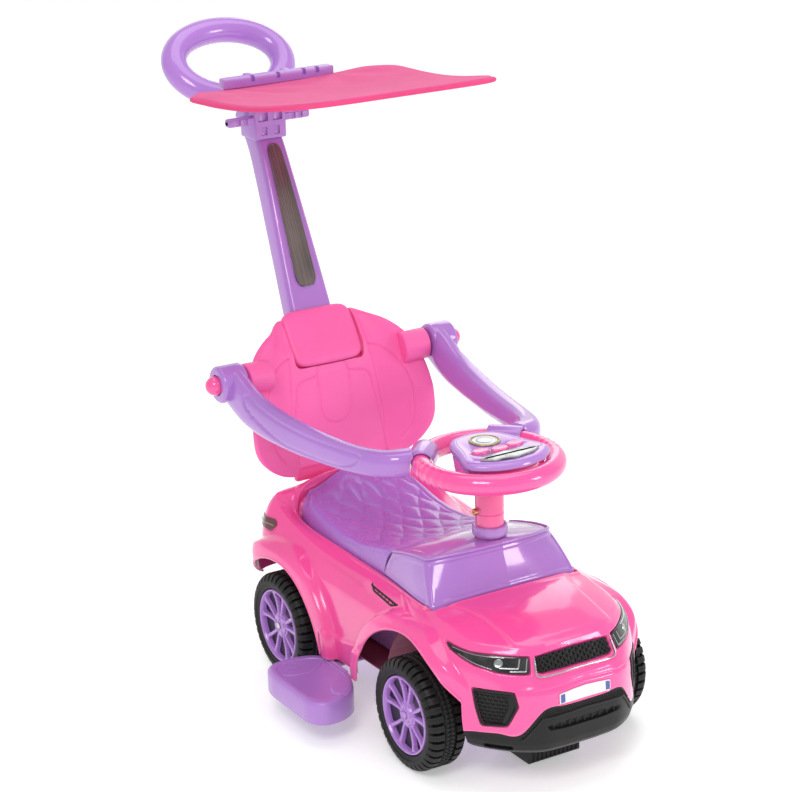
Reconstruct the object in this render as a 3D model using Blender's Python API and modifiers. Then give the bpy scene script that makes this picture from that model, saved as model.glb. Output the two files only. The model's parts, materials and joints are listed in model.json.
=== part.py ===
"""Foot-to-floor ride-on car with a push pole, guard arms and a sun canopy.

Metres, +Z up. The front of the car is at -Y, its right side at -X. The
origin is on the floor, under the middle of the car's bounding box.
Every part is one closed solid in its own object.
"""
import math

import bmesh
import bpy
import numpy as np
from mathutils import Matrix, Vector
from mathutils.bvhtree import BVHTree

# ---------------------------------------------------------------- dimensions
Y_SHIFT = -0.1717          # from the drawing datum to the middle of the length

TYRE_R = 0.0775            # rolling radius
RIM_R = 0.0540
TRACK = 0.146              # half the track, to the middle of the tyre
AXLE_F = -0.1477
AXLE_R = 0.2013
HUB_Z = 0.0775
AXLE_ROD_R = 0.0045
KINGPIN_X = 0.098
CRANK = 0.024              # steering crank and knuckle arms, all equal

ARCH_F = (-0.131, 0.058, 0.126)    # wheel arch: centre y, centre z, radius
ARCH_R = (0.212, 0.061, 0.112)
ARCH_FRONT_LIMIT = -0.2385
WALL = 0.0025

COLUMN_Y = -0.100
COLUMN_R = 0.0195
RING_Z = 0.384
RING_R = 0.0898
RING_TUBE = 0.0142

ARM_PIVOT = (0.306, 0.419)          # y, z
POLE_FOOT = (0.3700, 0.4000)
GAP = 0.0003

# ---------------------------------------------------------------- clean scene
for old in list(bpy.data.objects):
    bpy.data.objects.remove(old, do_unlink=True)

CAR = bpy.data.collections.new("ride_on_car")
bpy.context.scene.collection.children.link(CAR)
CUT = bpy.data.collections.new("cutters")
bpy.context.scene.collection.children.link(CUT)

datum = bpy.data.objects.new("datum", None)
datum.location = (0.0, Y_SHIFT, 0.0)
CAR.objects.link(datum)


def material(name, rgb, rough, metal=0.0):
    m = bpy.data.materials.new(name)
    m.use_nodes = True
    m.diffuse_color = (*rgb, 1.0)
    b = m.node_tree.nodes["Principled BSDF"]
    b.inputs["Base Color"].default_value = (*rgb, 1.0)
    b.inputs["Roughness"].default_value = rough
    b.inputs["Metallic"].default_value = metal
    return m


PINK = material("pink_gloss", (0.93, 0.13, 0.42), 0.22)
PINK_MATTE = material("pink_satin", (0.95, 0.13, 0.40), 0.42)
LILAC = material("lilac_gloss", (0.47, 0.24, 0.66), 0.28)
BLACK = material("black_satin", (0.015, 0.015, 0.017), 0.45)
TYRE = material("tyre_black", (0.020, 0.020, 0.021), 0.70)
STEEL = material("steel", (0.62, 0.61, 0.60), 0.30, 1.0)
BRASS = material("brass", (0.60, 0.40, 0.22), 0.30, 1.0)
CHROME = material("bright_trim", (0.75, 0.75, 0.76), 0.15, 1.0)
LENS = material("lamp_lens", (0.10, 0.10, 0.11), 0.10)
REDLENS = material("tail_lens", (0.55, 0.10, 0.12), 0.15)
PLATE = material("plate_white", (0.85, 0.85, 0.86), 0.35)
SMOKE = material("smoke_plate", (0.17, 0.14, 0.13), 0.18)
CANVAS = material("pink_canvas", (0.90, 0.16, 0.36), 0.85)


# ---------------------------------------------------------------- helpers
def put(name, mesh, mat, coll=CAR):
    ob = bpy.data.objects.new(name, mesh)
    coll.objects.link(ob)
    ob.parent = datum
    if mat:
        mesh.materials.append(mat)
    if coll is CUT:
        ob.hide_render = True
        ob.display_type = "WIRE"
    return ob


def smooth(ob, angle=40):
    me = ob.data
    me.shade_smooth()
    me.set_sharp_from_angle(angle=math.radians(angle))
    return ob


def from_bmesh(name, bm, mat, coll=CAR):
    me = bpy.data.meshes.new(name)
    bmesh.ops.recalc_face_normals(bm, faces=bm.faces)
    bm.to_mesh(me)
    bm.free()
    return put(name, me, mat, coll)


def box(name, lo, hi, mat, coll=CAR, bevel=0.0):
    bm = bmesh.new()
    bmesh.ops.create_cube(bm, size=1.0)
    lo, hi = Vector(lo), Vector(hi)
    bmesh.ops.scale(bm, verts=bm.verts, vec=hi - lo)
    bmesh.ops.translate(bm, verts=bm.verts, vec=(lo + hi) / 2)
    ob = from_bmesh(name, bm, mat, coll)
    if bevel:
        b = ob.modifiers.new("Bevel", "BEVEL")
        b.width = bevel
        b.segments = 1
    return ob


def rod(name, a, b, r, mat, coll=CAR, n=16, r2=None):
    """Straight cylinder or cone from a to b."""
    a, b = Vector(a), Vector(b)
    bm = bmesh.new()
    bmesh.ops.create_cone(bm, cap_ends=True, segments=n, radius1=r,
                          radius2=r if r2 is None else r2, depth=(b - a).length)
    q = Vector((0, 0, 1)).rotation_difference((b - a).normalized())
    bmesh.ops.transform(bm, matrix=Matrix.Translation((a + b) / 2) @ q.to_matrix().to_4x4(),
                        verts=bm.verts)
    return smooth(from_bmesh(name, bm, mat, coll))


def turned(name, profile, mat, steps=24, loc=(0, 0, 0), axis="Z", closed=False, coll=CAR, half_step=False):
    """Screw-modifier turning of an (r, h) profile about Z, X or -X."""
    a = math.pi / steps if half_step else 0.0
    vs = [(r * math.cos(a), r * math.sin(a), h) for r, h in profile]
    es = [(i, i + 1) for i in range(len(vs) - 1)]
    if closed:
        es.append((len(vs) - 1, 0))
    me = bpy.data.meshes.new(name)
    me.from_pydata(vs, es, [])
    ob = put(name, me, mat, coll)
    s = ob.modifiers.new("Turn", "SCREW")
    s.axis = "Z"
    s.angle = 2 * math.pi
    s.steps = steps
    s.render_steps = steps
    s.use_merge_vertices = True
    s.merge_threshold = 0.00005
    s.use_smooth_shade = True
    ob.location = loc
    if axis == "X":
        ob.rotation_euler = (0, math.pi / 2, 0)
    if axis == "-X":
        ob.rotation_euler = (0, -math.pi / 2, 0)
    return ob


def boolean(ob, cutter, how="DIFFERENCE"):
    m = ob.modifiers.new(cutter.name, "BOOLEAN")
    m.operation = how
    m.solver = "EXACT"
    m.object = cutter
    return ob


def solidify(ob, t, offset=-1.0):
    m = ob.modifiers.new("Wall", "SOLIDIFY")
    m.thickness = t
    m.offset = offset
    m.use_even_offset = True
    return ob


def plate(name, outline, z0, z1, mat, coll=CAR):
    """Flat outline in XY as a filled 2D curve extruded to its thickness, as a mesh."""
    cu = bpy.data.curves.new(name, "CURVE")
    cu.dimensions = "2D"
    cu.fill_mode = "BOTH"
    cu.extrude = (z1 - z0) / 2
    sp = cu.splines.new("POLY")
    sp.points.add(len(outline) - 1)
    for p, q in zip(sp.points, outline):
        p.co = (q[0], q[1], 0, 1)
    sp.use_cyclic_u = True
    tmp = bpy.data.objects.new(name + "_outline", cu)
    bpy.context.scene.collection.objects.link(tmp)
    me = bpy.data.meshes.new_from_object(
        tmp.evaluated_get(bpy.context.evaluated_depsgraph_get()))
    bpy.data.objects.remove(tmp, do_unlink=True)
    bm = bmesh.new()
    bm.from_mesh(me)
    bpy.data.meshes.remove(me)
    bmesh.ops.remove_doubles(bm, verts=bm.verts, dist=0.00002)
    bmesh.ops.translate(bm, verts=bm.verts, vec=(0, 0, (z0 + z1) / 2))
    return from_bmesh(name, bm, mat, coll)


def sweep(name, pts, sections, mat, up=(0, 0, 1), coll=CAR, caps=True, closed=False):
    """Loft closed sections (lists of (side, up) offsets) along a path."""
    pts = [Vector(p) for p in pts]
    n = len(pts)
    bm = bmesh.new()
    rings = []
    for i, p in enumerate(pts):
        if closed:
            t = pts[(i + 1) % n] - pts[i - 1]
        else:
            t = pts[min(i + 1, n - 1)] - pts[max(i - 1, 0)]
        t.normalize()
        side = t.cross(Vector(up)).normalized()
        upv = side.cross(t).normalized()
        rings.append([bm.verts.new(p + side * s + upv * u) for s, u in sections[i]])
    m = len(rings[0])
    for i in range(n if closed else n - 1):
        a, b = rings[i], rings[(i + 1) % n]
        for j in range(m):
            bm.faces.new((a[j], a[(j + 1) % m], b[(j + 1) % m], b[j]))
    if caps and not closed:
        bm.faces.new(rings[0])
        bm.faces.new(rings[-1])
    return smooth(from_bmesh(name, bm, mat, coll))


def superellipse(a, b, n, e=2.0, phase=0.0):
    out = []
    for k in range(n):
        t = 2 * math.pi * k / n + phase
        c, s = math.cos(t), math.sin(t)
        out.append((a * math.copysign(abs(c) ** (2 / e), c), b * math.copysign(abs(s) ** (2 / e), s)))
    return out


def spline(keys, n):
    """Catmull-Rom through rows of numbers, resampled to n rows."""
    k = np.asarray(keys, dtype=float)
    out = []
    for u in np.linspace(0, len(k) - 1, n):
        i = min(int(u), len(k) - 2)
        t = u - i
        p0, p1, p2, p3 = k[max(i - 1, 0)], k[i], k[i + 1], k[min(i + 2, len(k) - 1)]
        out.append(0.5 * (2 * p1 + (p2 - p0) * t + (2 * p0 - 5 * p1 + 4 * p2 - p3) * t * t
                          + (3 * p1 - p0 - 3 * p2 + p3) * t ** 3))
    return np.array(out)


def grid_mesh(name, grid, mat, coll=CAR, mirror=True, flip=False):
    """Open surface from a grid of points, half at +X mirrored at x = 0."""
    bm = bmesh.new()
    rows = [[bm.verts.new(Vector(p)) for p in row] for row in grid]
    for a, b in zip(rows, rows[1:]):
        for j in range(len(a) - 1):
            q = [a[j], a[j + 1], b[j + 1], b[j]]
            bm.faces.new(q[::-1] if flip else q)
    me = bpy.data.meshes.new(name)
    bm.to_mesh(me)
    bm.free()
    ob = put(name, me, mat, coll)
    if mirror:
        m = ob.modifiers.new("Mirror", "MIRROR")
        m.use_axis[0] = True
        m.use_clip = True
        m.use_mirror_merge = True
        m.merge_threshold = 0.00005
    return ob


# ---------------------------------------------------------------- body surface
# Outline of the body in plan, at its widest, from the middle of the front to
# the middle of the rear, then the seam where the pink body meets the lilac top.
OUTLINE = [(0, -.3200), (.030, -.3196), (.060, -.3155), (.088, -.2990), (.110, -.2765),
           (.1275, -.2510), (.1400, -.2225), (.1475, -.1900), (.1505, -.1500), (.1505, -.1050),
           (.1485, -.0600), (.1465, -.0100), (.1460, .0400), (.1460, .0900), (.1475, .1300),
           (.1490, .1700), (.1510, .2150), (.1510, .2580), (.1465, .2860), (.1310, .3060),
           (.0950, .3170), (.0480, .3205), (0, .3215)]
SEAM = [(0, -.1500, .2186), (.022, -.1495, .2184), (.045, -.1480, .2176), (.068, -.1450, .2160),
        (.090, -.1410, .2138), (.106, -.1375, .2115), (.1174, -.1340, .2090), (.1165, -.1100, .2085),
        (.1140, -.0850, .2080), (.1100, -.0550, .2070), (.1060, -.0250, .2060), (.1020, .0100, .2050),
        (.1000, .0450, .2045), (.0990, .0850, .2040), (.0980, .1250, .2040), (.0980, .1700, .2042),
        (.0980, .2150, .2050), (.0975, .2450, .2080), (.0955, .2620, .2140), (.0930, .2690, .2290),
        (.0820, .2735, .2470), (.0480, .2790, .2590), (0, .2830, .2620)]
FRONT_P = [(.1240, .0000), (.1440, .0015), (.1560, .0085), (.1640, .0150), (.1880, .0265), (.1960, .0310)]
SIDE_P = [(.0685, .0030), (.1000, .0005), (.1400, .0000), (.1700, .0030), (.1870, .0110), (.1980, .0220)]
REAR_P = [(.1220, .0050), (.1500, .0010), (.1800, .0000), (.2080, .0040), (.2300, .0120), (.2450, .0240)]
#            weight of the front, side and rear profile, and the bottom edge, per column
W_FRONT = [1, 1, 1, .80, .50, .22, .05] + [0] * 16
W_REAR = [0] * 14 + [.05, .15, .35, .60, .85, 1, 1, 1, 1]
BOTTOM = [.1236, .1236, .1226, .0880, .0870, .0840, .0810, .0790, .0780, .0720, .0690, .0685, .0685,
          .0685, .0690, .0720, .0800, .0950, .1150, .1220, .1220, .1220, .1220]


def flare(y, z):
    """Outward swelling of the fenders round the wheel arches."""
    f = 0.0
    for cy, cz, r in (ARCH_F, ARCH_R):
        d = math.hypot(y - cy, z - cz) - r
        t = min(max((0.034 - d) / 0.026, 0.0), 1.0)
        t *= min(max((y + 0.250) / 0.045, 0.0), 1.0) * min(max((0.212 - z) / 0.040, 0.0), 1.0)
        f = max(f, 0.0165 * t * t * (3 - 2 * t))
    return f


def body_grid(nu, nm):
    """Rows of points from the bottom edge up to the seam and its inner ledge."""
    o = spline(OUTLINE, nu)
    s = spline(SEAM, nu)
    wf = spline([[v] for v in W_FRONT], nu)[:, 0].clip(0, 1)
    wr = spline([[v] for v in W_REAR], nu)[:, 0].clip(0, 1)
    zb = spline([[v] for v in BOTTOM], nu)[:, 0]
    cols = []
    for i in range(nu):
        t = o[min(i + 1, nu - 1)] - o[max(i - 1, 0)]
        if i == 0 or i == nu - 1:
            t = np.array([1.0 if i == 0 else -1.0, 0.0])
        t = t / np.hypot(*t)
        nrm = np.array([t[1], -t[0]])
        col = []
        for k in range(6):
            f, sd, rr = FRONT_P[k], SIDE_P[k], REAR_P[k]
            ws = 1 - wf[i] - wr[i]
            z = f[0] * wf[i] + sd[0] * ws + rr[0] * wr[i]
            d = f[1] * wf[i] + sd[1] * ws + rr[1] * wr[i]
            if k == 0:
                z = zb[i]
            x, y = o[i] - nrm * d
            y2, z2 = y, z
            side_ness = abs(nrm[0]) ** (2 if y < 0 else .7)
            x, y = np.array([x, y]) + nrm * flare(y2, z2) * side_ness
            col.append([x, y, z])
        lip = np.array(col[-1])
        for k in range(1, nm + 1):
            u = k / (nm + 1)
            p = lip * (1 - u) + s[i] * u
            p[2] += 0.0045 * 4 * u * (1 - u) * wf[i] + 0.0020 * 4 * u * (1 - u)
            col.append(list(p))
        col.append(list(s[i]))
        inw = s[i][:2] - (np.array([0, -.14]) if s[i][1] < -.13 else np.array([0, min(max(s[i][1], -.1), .2)]))
        inw = -inw / (np.hypot(*inw) + 1e-9)
        if i == 0:
            inw = np.array([0, 1.0])
        if i == nu - 1:
            inw = np.array([0, -1.0])
        if s[i][1] < -.13:
            inw = np.array([0, 1.0])
        low = s[i] - [0, 0, .0110 + .0050 * wr[i]]
        col.append(list(low))
        col.append([low[0] + inw[0] * .012, low[1] + inw[1] * .012, low[2]])
        col[-1][0] = max(col[-1][0], 0.0)
        if i in (0, nu - 1):
            for p in col:
                p[0] = 0.0
        cols.append(col)
    return cols


grid = body_grid(35, 2)
body = grid_mesh("body_shell", [list(r) for r in grid], PINK, flip=True)
skin = bmesh.new()
skin.from_object(body, bpy.context.evaluated_depsgraph_get())
SKIN = BVHTree.FromBMesh(skin)
skin.free()
solidify(body, WALL)


def arch_cutter(name, cy, cz, r, x0, x1, n=28):
    """Prism with a round top and straight legs, across the side of the body."""
    pts = [(max(cy + r * math.cos(math.pi * k / n), ARCH_FRONT_LIMIT), cz + r * math.sin(math.pi * k / n))
           for k in range(n + 1)]
    pts += [(pts[-1][0], -0.02), (cy + r, -0.02)]
    bm = bmesh.new()
    a = [bm.verts.new((x0, y, z)) for y, z in pts]
    b = [bm.verts.new((x1, y, z)) for y, z in pts]
    m = len(pts)
    for j in range(m):
        bm.faces.new((a[j], a[(j + 1) % m], b[(j + 1) % m], b[j]))
    bm.faces.new(a)
    bm.faces.new(b)
    return from_bmesh(name, bm, None, CUT)


for cy, cz, r in (ARCH_F, ARCH_R):
    for sgn in (-1, 1):
        c = arch_cutter("arch_cut_%s_%d" % ("f" if cy < 0 else "r", sgn), cy, cz, r,
                        min(sgn * .120, sgn * .200), max(sgn * .120, sgn * .200))
        boolean(body, c)
smooth(body)

# black lower bumper, from arch to arch under the pink front
gb = []
o = spline(OUTLINE, 35)
for i in range(12):
    t = o[i + 1] - o[max(i - 1, 0)]
    if i == 0:
        t = np.array([1.0, 0])
    t = t / np.hypot(*t)
    nrm = np.array([t[1], -t[0]])
    top = grid[i][0]
    col = []
    for z, d in ((.0580, .0100), (.0650, .0035), (.0735, .0008)):
        x, y = np.array(top[:2]) - nrm * d
        col.append([0.0 if i == 0 else x, y, z])
    col.append([top[0], top[1], top[2] - .0008])
    gb.append(col)
bumper = grid_mesh("lower_bumper", gb, BLACK, flip=True)
solidify(bumper, WALL)
for sgn in (-1, 1):
    boolean(bumper, arch_cutter("bumper_cut_%d" % sgn, ARCH_F[0], ARCH_F[1], ARCH_F[2] + .001,
                                min(sgn * .090, sgn * .200), max(sgn * .090, sgn * .200)))
smooth(bumper)

# ---------------------------------------------------------------- wheel-arch liner
def arc(cy, cz, r, a0, a1, n):
    return [(cy + r * math.cos(a), cz + r * math.sin(a))
            for a in (a0 + (a1 - a0) * k / n for k in range(n + 1))]


LINER_R_F, LINER_R_R = 0.1205, 0.1075
floor_z = 0.0705
a0 = math.asin((floor_z - ARCH_F[1]) / LINER_R_F)
a1 = math.asin((floor_z - ARCH_R[1]) / LINER_R_R)
prof = arc(ARCH_F[0], ARCH_F[1], LINER_R_F, math.pi - a0 - .10, a0, 16)
prof += arc(ARCH_R[0], ARCH_R[1], LINER_R_R, math.pi - a1, .74, 14)
liner = grid_mesh("arch_liner", [[(0.0, y, z), (.116, y, z)] for y, z in prof], PINK)
solidify(liner, .0022, -1.0)
hole = rod("liner_shaft_hole", (0, COLUMN_Y, .15), (0, COLUMN_Y, .21), .0085, None, CUT, 12)
boolean(liner, hole)
smooth(liner)

# ---------------------------------------------------------------- chassis
half = [(.045, -.2500), (.078, -.2300), (.082, -.1700), (.106, -.1580), (.106, -.1370),
        (.082, -.1250), (.082, -.0600), (.056, -.0480), (.056, .1320), (.100, .1480), (.104, .2400),
        (.085, .2560)]
out = half + [(-x, y) for x, y in reversed(half) if x > 0]
chassis = plate("chassis", out, .0460, .0520, LILAC)
for sgn in (-1, 1):
    s = "l" if sgn > 0 else "r"
    boolean(chassis, box("fork_post_" + s, (min(sgn * .0740, sgn * .0820), -.1560, .0500),
                         (max(sgn * .0740, sgn * .0820), -.1394, .1150), None, CUT), "UNION")
    boolean(chassis, box("fork_ear_" + s, (min(sgn * .0750, sgn * .1060), -.1564, .1090),
                         (max(sgn * .0750, sgn * .1060), -.1390, .1156), None, CUT), "UNION")
    boolean(chassis, box("axle_post_" + s, (min(sgn * .0820, sgn * .0950), AXLE_R - .012, .0500),
                         (max(sgn * .0820, sgn * .0950), AXLE_R + .012, .0950), None, CUT), "UNION")
    boolean(chassis, rod("kingpin_bore_" + s, (sgn * KINGPIN_X, AXLE_F, .030), (sgn * KINGPIN_X, AXLE_F, .130),
                         .0053, None, CUT, 12))
for k, y in enumerate((.0365, .0640, .0925)):
    boolean(chassis, box("guide_%d" % k, (-.0550, y - .0018, .0500), (.0550, y + .0018, .0640), None, CUT), "UNION")
boolean(chassis, rod("rear_axle_bore", (-.12, AXLE_R, HUB_Z), (.12, AXLE_R, HUB_Z), AXLE_ROD_R + .0004, None, CUT, 16))
boolean(chassis, rod("shaft_bore", (0, COLUMN_Y, .030), (0, COLUMN_Y, .060), .0046, None, CUT, 12))
rear_axle = rod("rear_axle", (-.1705, AXLE_R, HUB_Z), (.1705, AXLE_R, HUB_Z), AXLE_ROD_R, STEEL, n=16)

stop = box("front_stop_block", (-.0415, -.2480, .0100), (.0415, -.1800, .0457), BLACK)
boolean(stop, box("stop_step", (-.0600, -.2600, .0300), (.0600, -.2410, .0500), None, CUT))

# ---------------------------------------------------------------- storage tray under the seat
tray = box("storage_tray", (-.0790, .0020, .0760), (.0790, .0950, .1955), LILAC)
boolean(tray, plate("tray_flange", [(-.0930, .0280), (.0930, .0280), (.0930, .2050), (-.0930, .2050)],
                    .1946, .1966, None, CUT), "UNION")
boolean(tray, box("tray_hollow", (-.0765, .0300, .0785), (.0765, .0925, .2100), None, CUT))
boolean(tray, box("tray_under", (-.0765, .0045, .0785), (.0765, .0925, .1930), None, CUT))

# ---------------------------------------------------------------- wheels
def wheel(tag, sx, y):
    """Tyre and rim as separate turned parts; sx is the side."""
    s = 1 if sx > 0 else -1
    c = 1 / math.cos(math.pi / 28)
    R = TYRE_R * c
    tp = [(.0660 * c, .0280), (.0735 * c, .0250), (R, .0175), (R, -.0175), (.0735 * c, -.0250),
          (.0660 * c, -.0280), (.0550, -.0250), (.0550, .0250)]
    turned("tyre_" + tag, tp, TYRE, 28, (s * TRACK, y, HUB_Z), "X", True, half_step=True)
    bore = AXLE_ROD_R + .0003
    rp = [(.0540, .0262), (.0540, -.0240), (.0500, -.0240), (.0500, .0150), (.0170, .0170), (.0140, -.0220),
          (bore, -.0220), (bore, .0220), (.0160, .0230), (.0490, .0190), (.0515, .0262)]
    turned("rim_" + tag, rp, LILAC, 24, (s * TRACK, y, HUB_Z), "X" if s > 0 else "-X", True)


wheel("front_left", 1, AXLE_F)
wheel("front_right", -1, AXLE_F)
wheel("rear_left", 1, AXLE_R)
wheel("rear_right", -1, AXLE_R)

# ---------------------------------------------------------------- steering linkage
for sgn in (-1, 1):
    tag = "left" if sgn > 0 else "right"
    X = sgn * KINGPIN_X
    kn = box("knuckle_" + tag, (X - .0085, AXLE_F - .0085, .0650), (X + .0085, AXLE_F + .0085, .0980), LILAC)
    boolean(kn, rod("kp_" + tag, (X, AXLE_F, .0475), (X, AXLE_F, .1120), .0050, None, CUT, 12), "UNION")
    boolean(kn, rod("stub_" + tag, (sgn * .1020, AXLE_F, HUB_Z), (sgn * .1705, AXLE_F, HUB_Z),
                    AXLE_ROD_R, None, CUT, 16), "UNION")
    boolean(kn, box("karm_" + tag, (X - .0045, AXLE_F + .004, .0640), (X + .0045, AXLE_F + CRANK + .006, .0690),
                    None, CUT), "UNION")
    boolean(kn, rod("kpinarm_" + tag, (X, AXLE_F + CRANK, .0565), (X, AXLE_F + CRANK, .0660),
                    .0028, None, CUT, 10), "UNION")

ty = AXLE_F + CRANK
cy = COLUMN_Y + CRANK
rodline = [(-.1050, ty - .006), (.1050, ty - .006), (.1050, ty + .006), (.0300, ty + .006),
           (.0080, cy + .007), (-.0080, cy + .007), (-.0300, ty + .006), (-.1050, ty + .006)]
tie = plate("tie_rod", rodline, .0580, .0615, STEEL)
for k, (x, y) in enumerate(((-KINGPIN_X, ty), (KINGPIN_X, ty), (0, cy))):
    boolean(tie, rod("tie_hole_%d" % k, (x, y, .050), (x, y, .070), .0033, None, CUT, 10))
boolean(tie, box("tie_slot", (-.0115, COLUMN_Y - .0065, .050), (.0115, COLUMN_Y + .0065, .070), None, CUT))

shaft = rod("steering_shaft", (0, COLUMN_Y, .0475), (0, COLUMN_Y, .3350), .0042, STEEL, n=12)
# the crank sits above the tie rod; the shaft passes in front of the rod's tab
boolean(shaft, box("crank_arm", (-.0045, COLUMN_Y - .002, .0630), (.0045, cy + .0045, .0680), None, CUT), "UNION")
boolean(shaft, rod("crank_pin", (0, cy, .0570), (0, cy, .0650), .0028, None, CUT, 10), "UNION")

# ---------------------------------------------------------------- dash cowl and collar
CB = [(0, -.1500, .2186), (.030, -.1488, .2182), (.060, -.1462, .2167), (.090, -.1410, .2138), (.106, -.1375, .2115),
      (.1165, -.1335, .2085), (.1160, -.1180, .2086), (.1145, -.0900, .2081), (.1100, -.0550, .2070),
      (.1060, -.0250, .2060), (.1020, .0130, .2048)]
CT = [(0, -.1290, .2760), (.028, -.1268, .2752), (.054, -.1205, .2728), (.076, -.1110, .2695), (.090, -.1030, .2665),
      (.0975, -.0950, .2640), (.0985, -.0850, .2632), (.0978, -.0640, .2600), (.0968, -.0440, .2555),
      (.0958, -.0220, .2500), (.0945, -.0030, .2440)]
CC = [(0, -.1230, .2775), (0, -.1180, .2785), (0, -.1130, .2790), (0, -.1060, .2795), (0, -.0980, .2790), (0, -.0890, .2780),
      (0, -.0780, .2755), (0, -.0600, .2705), (0, -.0410, .2640), (0, -.0200, .2560), (0, -.0030, .2490)]


def cowl_grid(nu, inset=.0008):
    b, t, c = spline(CB, nu), spline(CT, nu), spline(CC, nu)
    rows = []
    for i in range(nu):
        B = b[i] + 0.0
        B[1] += inset if B[1] < -.13 else 0.0
        B[0] = max(B[0] - (inset if i > nu * .45 else 0.0), 0.0)
        T, Cn = t[i], c[i]
        low = B - [0, 0, .0080]
        low[1] += .0004
        r = [low, B]
        for u in (.45, .85):
            p = B * (1 - u) + T * u
            r.append(p)
        r.append(T)
        for u in (.12, .5):
            p = T * (1 - u) + Cn * u
            p[2] += .0018 * math.sin(math.pi * u)
            r.append(p)
        r.append(Cn)
        if i == 0:
            for p in r:
                p[0] = 0.0
        r[-1][0] = 0.0
        rows.append([list(p) for p in r])
    return rows


cowl = grid_mesh("dash_cowl", cowl_grid(13), LILAC, flip=True)
solidify(cowl, .0024)
boolean(cowl, rod("column_bore", (0, COLUMN_Y, .24), (0, COLUMN_Y, .32), COLUMN_R + .0012, None, CUT, 20))
smooth(cowl)
turned("column_collar", [(.0225, .0150), (.0238, .0135), (.0240, .0022), (.0200, .0000), (.0200, .0150)],
       LILAC, 24, (0, COLUMN_Y, .2808), "Z", True)

# ---------------------------------------------------------------- steering wheel
col = turned("steering_column", [(.0165, .0950), (COLUMN_R, .0950), (COLUMN_R, .0100), (.0165, .0100)],
             PINK, 20, (0, COLUMN_Y, .2620), "Z", True)
boolean(col, box("shaft_boss", (-.0175, COLUMN_Y - .0045, .2900), (.0175, COLUMN_Y + .0045, .3020), None, CUT), "UNION")
boolean(col, rod("shaft_socket", (0, COLUMN_Y, .2800), (0, COLUMN_Y, .3080), .0046, None, CUT, 12))
boolean(shaft, rod("shaft_cross_hole", (-.02, COLUMN_Y, .3170), (.02, COLUMN_Y, .3170), .0021, None, CUT, 8))
boolean(col, rod("col_cross_hole", (-.03, COLUMN_Y, .3170), (.03, COLUMN_Y, .3170), .0024, None, CUT, 10))
screw = rod("column_screw", (-.0245, COLUMN_Y, .3170), (.0225, COLUMN_Y, .3170), .0017, BRASS, n=8)
boolean(screw, rod("screw_head", (-.0262, COLUMN_Y, .3170), (-.0199, COLUMN_Y, .3170), .0048, None, CUT, 10), "UNION")

ringpts = [(RING_R * math.cos(2 * math.pi * k / 28), COLUMN_Y + RING_R * math.sin(2 * math.pi * k / 28), RING_Z)
           for k in range(28)]
sweep("steering_ring", ringpts, [superellipse(RING_TUBE, RING_TUBE, 8, 2, math.pi / 8)] * 28, PINK, closed=True)

HUB = [(.000, -.1828), (.026, -.1788), (.048, -.1682), (.064, -.1520), (.0640, -.1350), (.0560, -.1100),
       (.0460, -.0760), (.0330, -.0560), (.0150, -.0480), (0, -.0460)]


def hub_outline(off=0.0, front=0.0):
    h = []
    for x, y in HUB:
        v = Vector((x, y + .1120))
        v -= v.normalized() * off
        y2 = v.y - .1120
        if y2 < -.15:
            y2 += front
        h.append((v.x if x > 0 else 0.0, y2))
    return h + [(-x, y) for x, y in reversed(h) if x > 0]


def hub_solid(name, levels, mat, coll=CAR):
    """Stack of scaled hub outlines; each level is (z, inset, front setback)."""
    bm = bmesh.new()
    rings = [[bm.verts.new((x, y, z)) for x, y in hub_outline(off, fr)] for z, off, fr in levels]
    m = len(rings[0])
    for a, b in zip(rings, rings[1:]):
        for j in range(m):
            bm.faces.new((a[j], a[(j + 1) % m], b[(j + 1) % m], b[j]))
    bm.faces.new(rings[0])
    bm.faces.new(rings[-1])
    return smooth(from_bmesh(name, bm, mat, coll), 35)


hub = hub_solid("steering_hub", [(.3560, .026, .014), (.3640, .010, .014), (.3900, .0045, .0135), (.3925, .0045, .0135)], PINK)
# hollow of the lower shell, open at the top, with room for the column
boolean(hub, hub_solid("hub_hollow", [(.3665, .016, .018), (.3920, .008, .0165), (.4100, .008, .0165)], None, CUT))
boolean(hub, rod("hub_neck_room", (0, COLUMN_Y, .3400), (0, COLUMN_Y, .3572), COLUMN_R + .0003, None, CUT, 20))
cover = hub_solid("hub_cover", [(.3928, .0040, .0135), (.3990, .0030, .0125), (.4000, .0010, .0000), (.4050, .0010, .0010),
                                (.4090, .0080, .0060)], LILAC)
boolean(cover, hub_solid("cover_hollow", [(.3900, .0075, .0165), (.4035, .0075, .0165), (.4036, .0085, .0175)], None, CUT))
ring_room = rod("ring_room", (0, 0, 0), (0, 0, 1), .01, None, CUT, 8)
bpy.data.objects.remove(ring_room, do_unlink=True)
rr = sweep("ring_clearance", ringpts, [superellipse(RING_TUBE + .0005, RING_TUBE + .0005, 8, 2, math.pi / 8)] * 28, None,
           closed=True, coll=CUT)
boolean(hub, rr)
boolean(cover, rr)

TOP = .4094
dial = rod("hub_dial", (0, -.0905, TOP), (0, -.0905, TOP + .0022), .0215, CHROME, n=24)
window = plate("hub_window", [(-.0480, -.1500), (-.0300, -.1640), (0, -.1700), (.0300, -.1640), (.0480, -.1500),
                              (.0300, -.1420), (0, -.1395), (-.0300, -.1420)], TOP, TOP + .0022, LENS)


def ellipse_rod(name, x, y, a, b, z0, z1, mat, coll=CAR):
    ob = rod(name, (x, y, z0), (x, y, z1), a, mat, coll, 14)
    ob.data.transform(Matrix.Translation((x, y, 0)) @ Matrix.Diagonal((1, b / a, 1, 1)) @ Matrix.Translation((-x, -y, 0)))
    return ob


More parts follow.
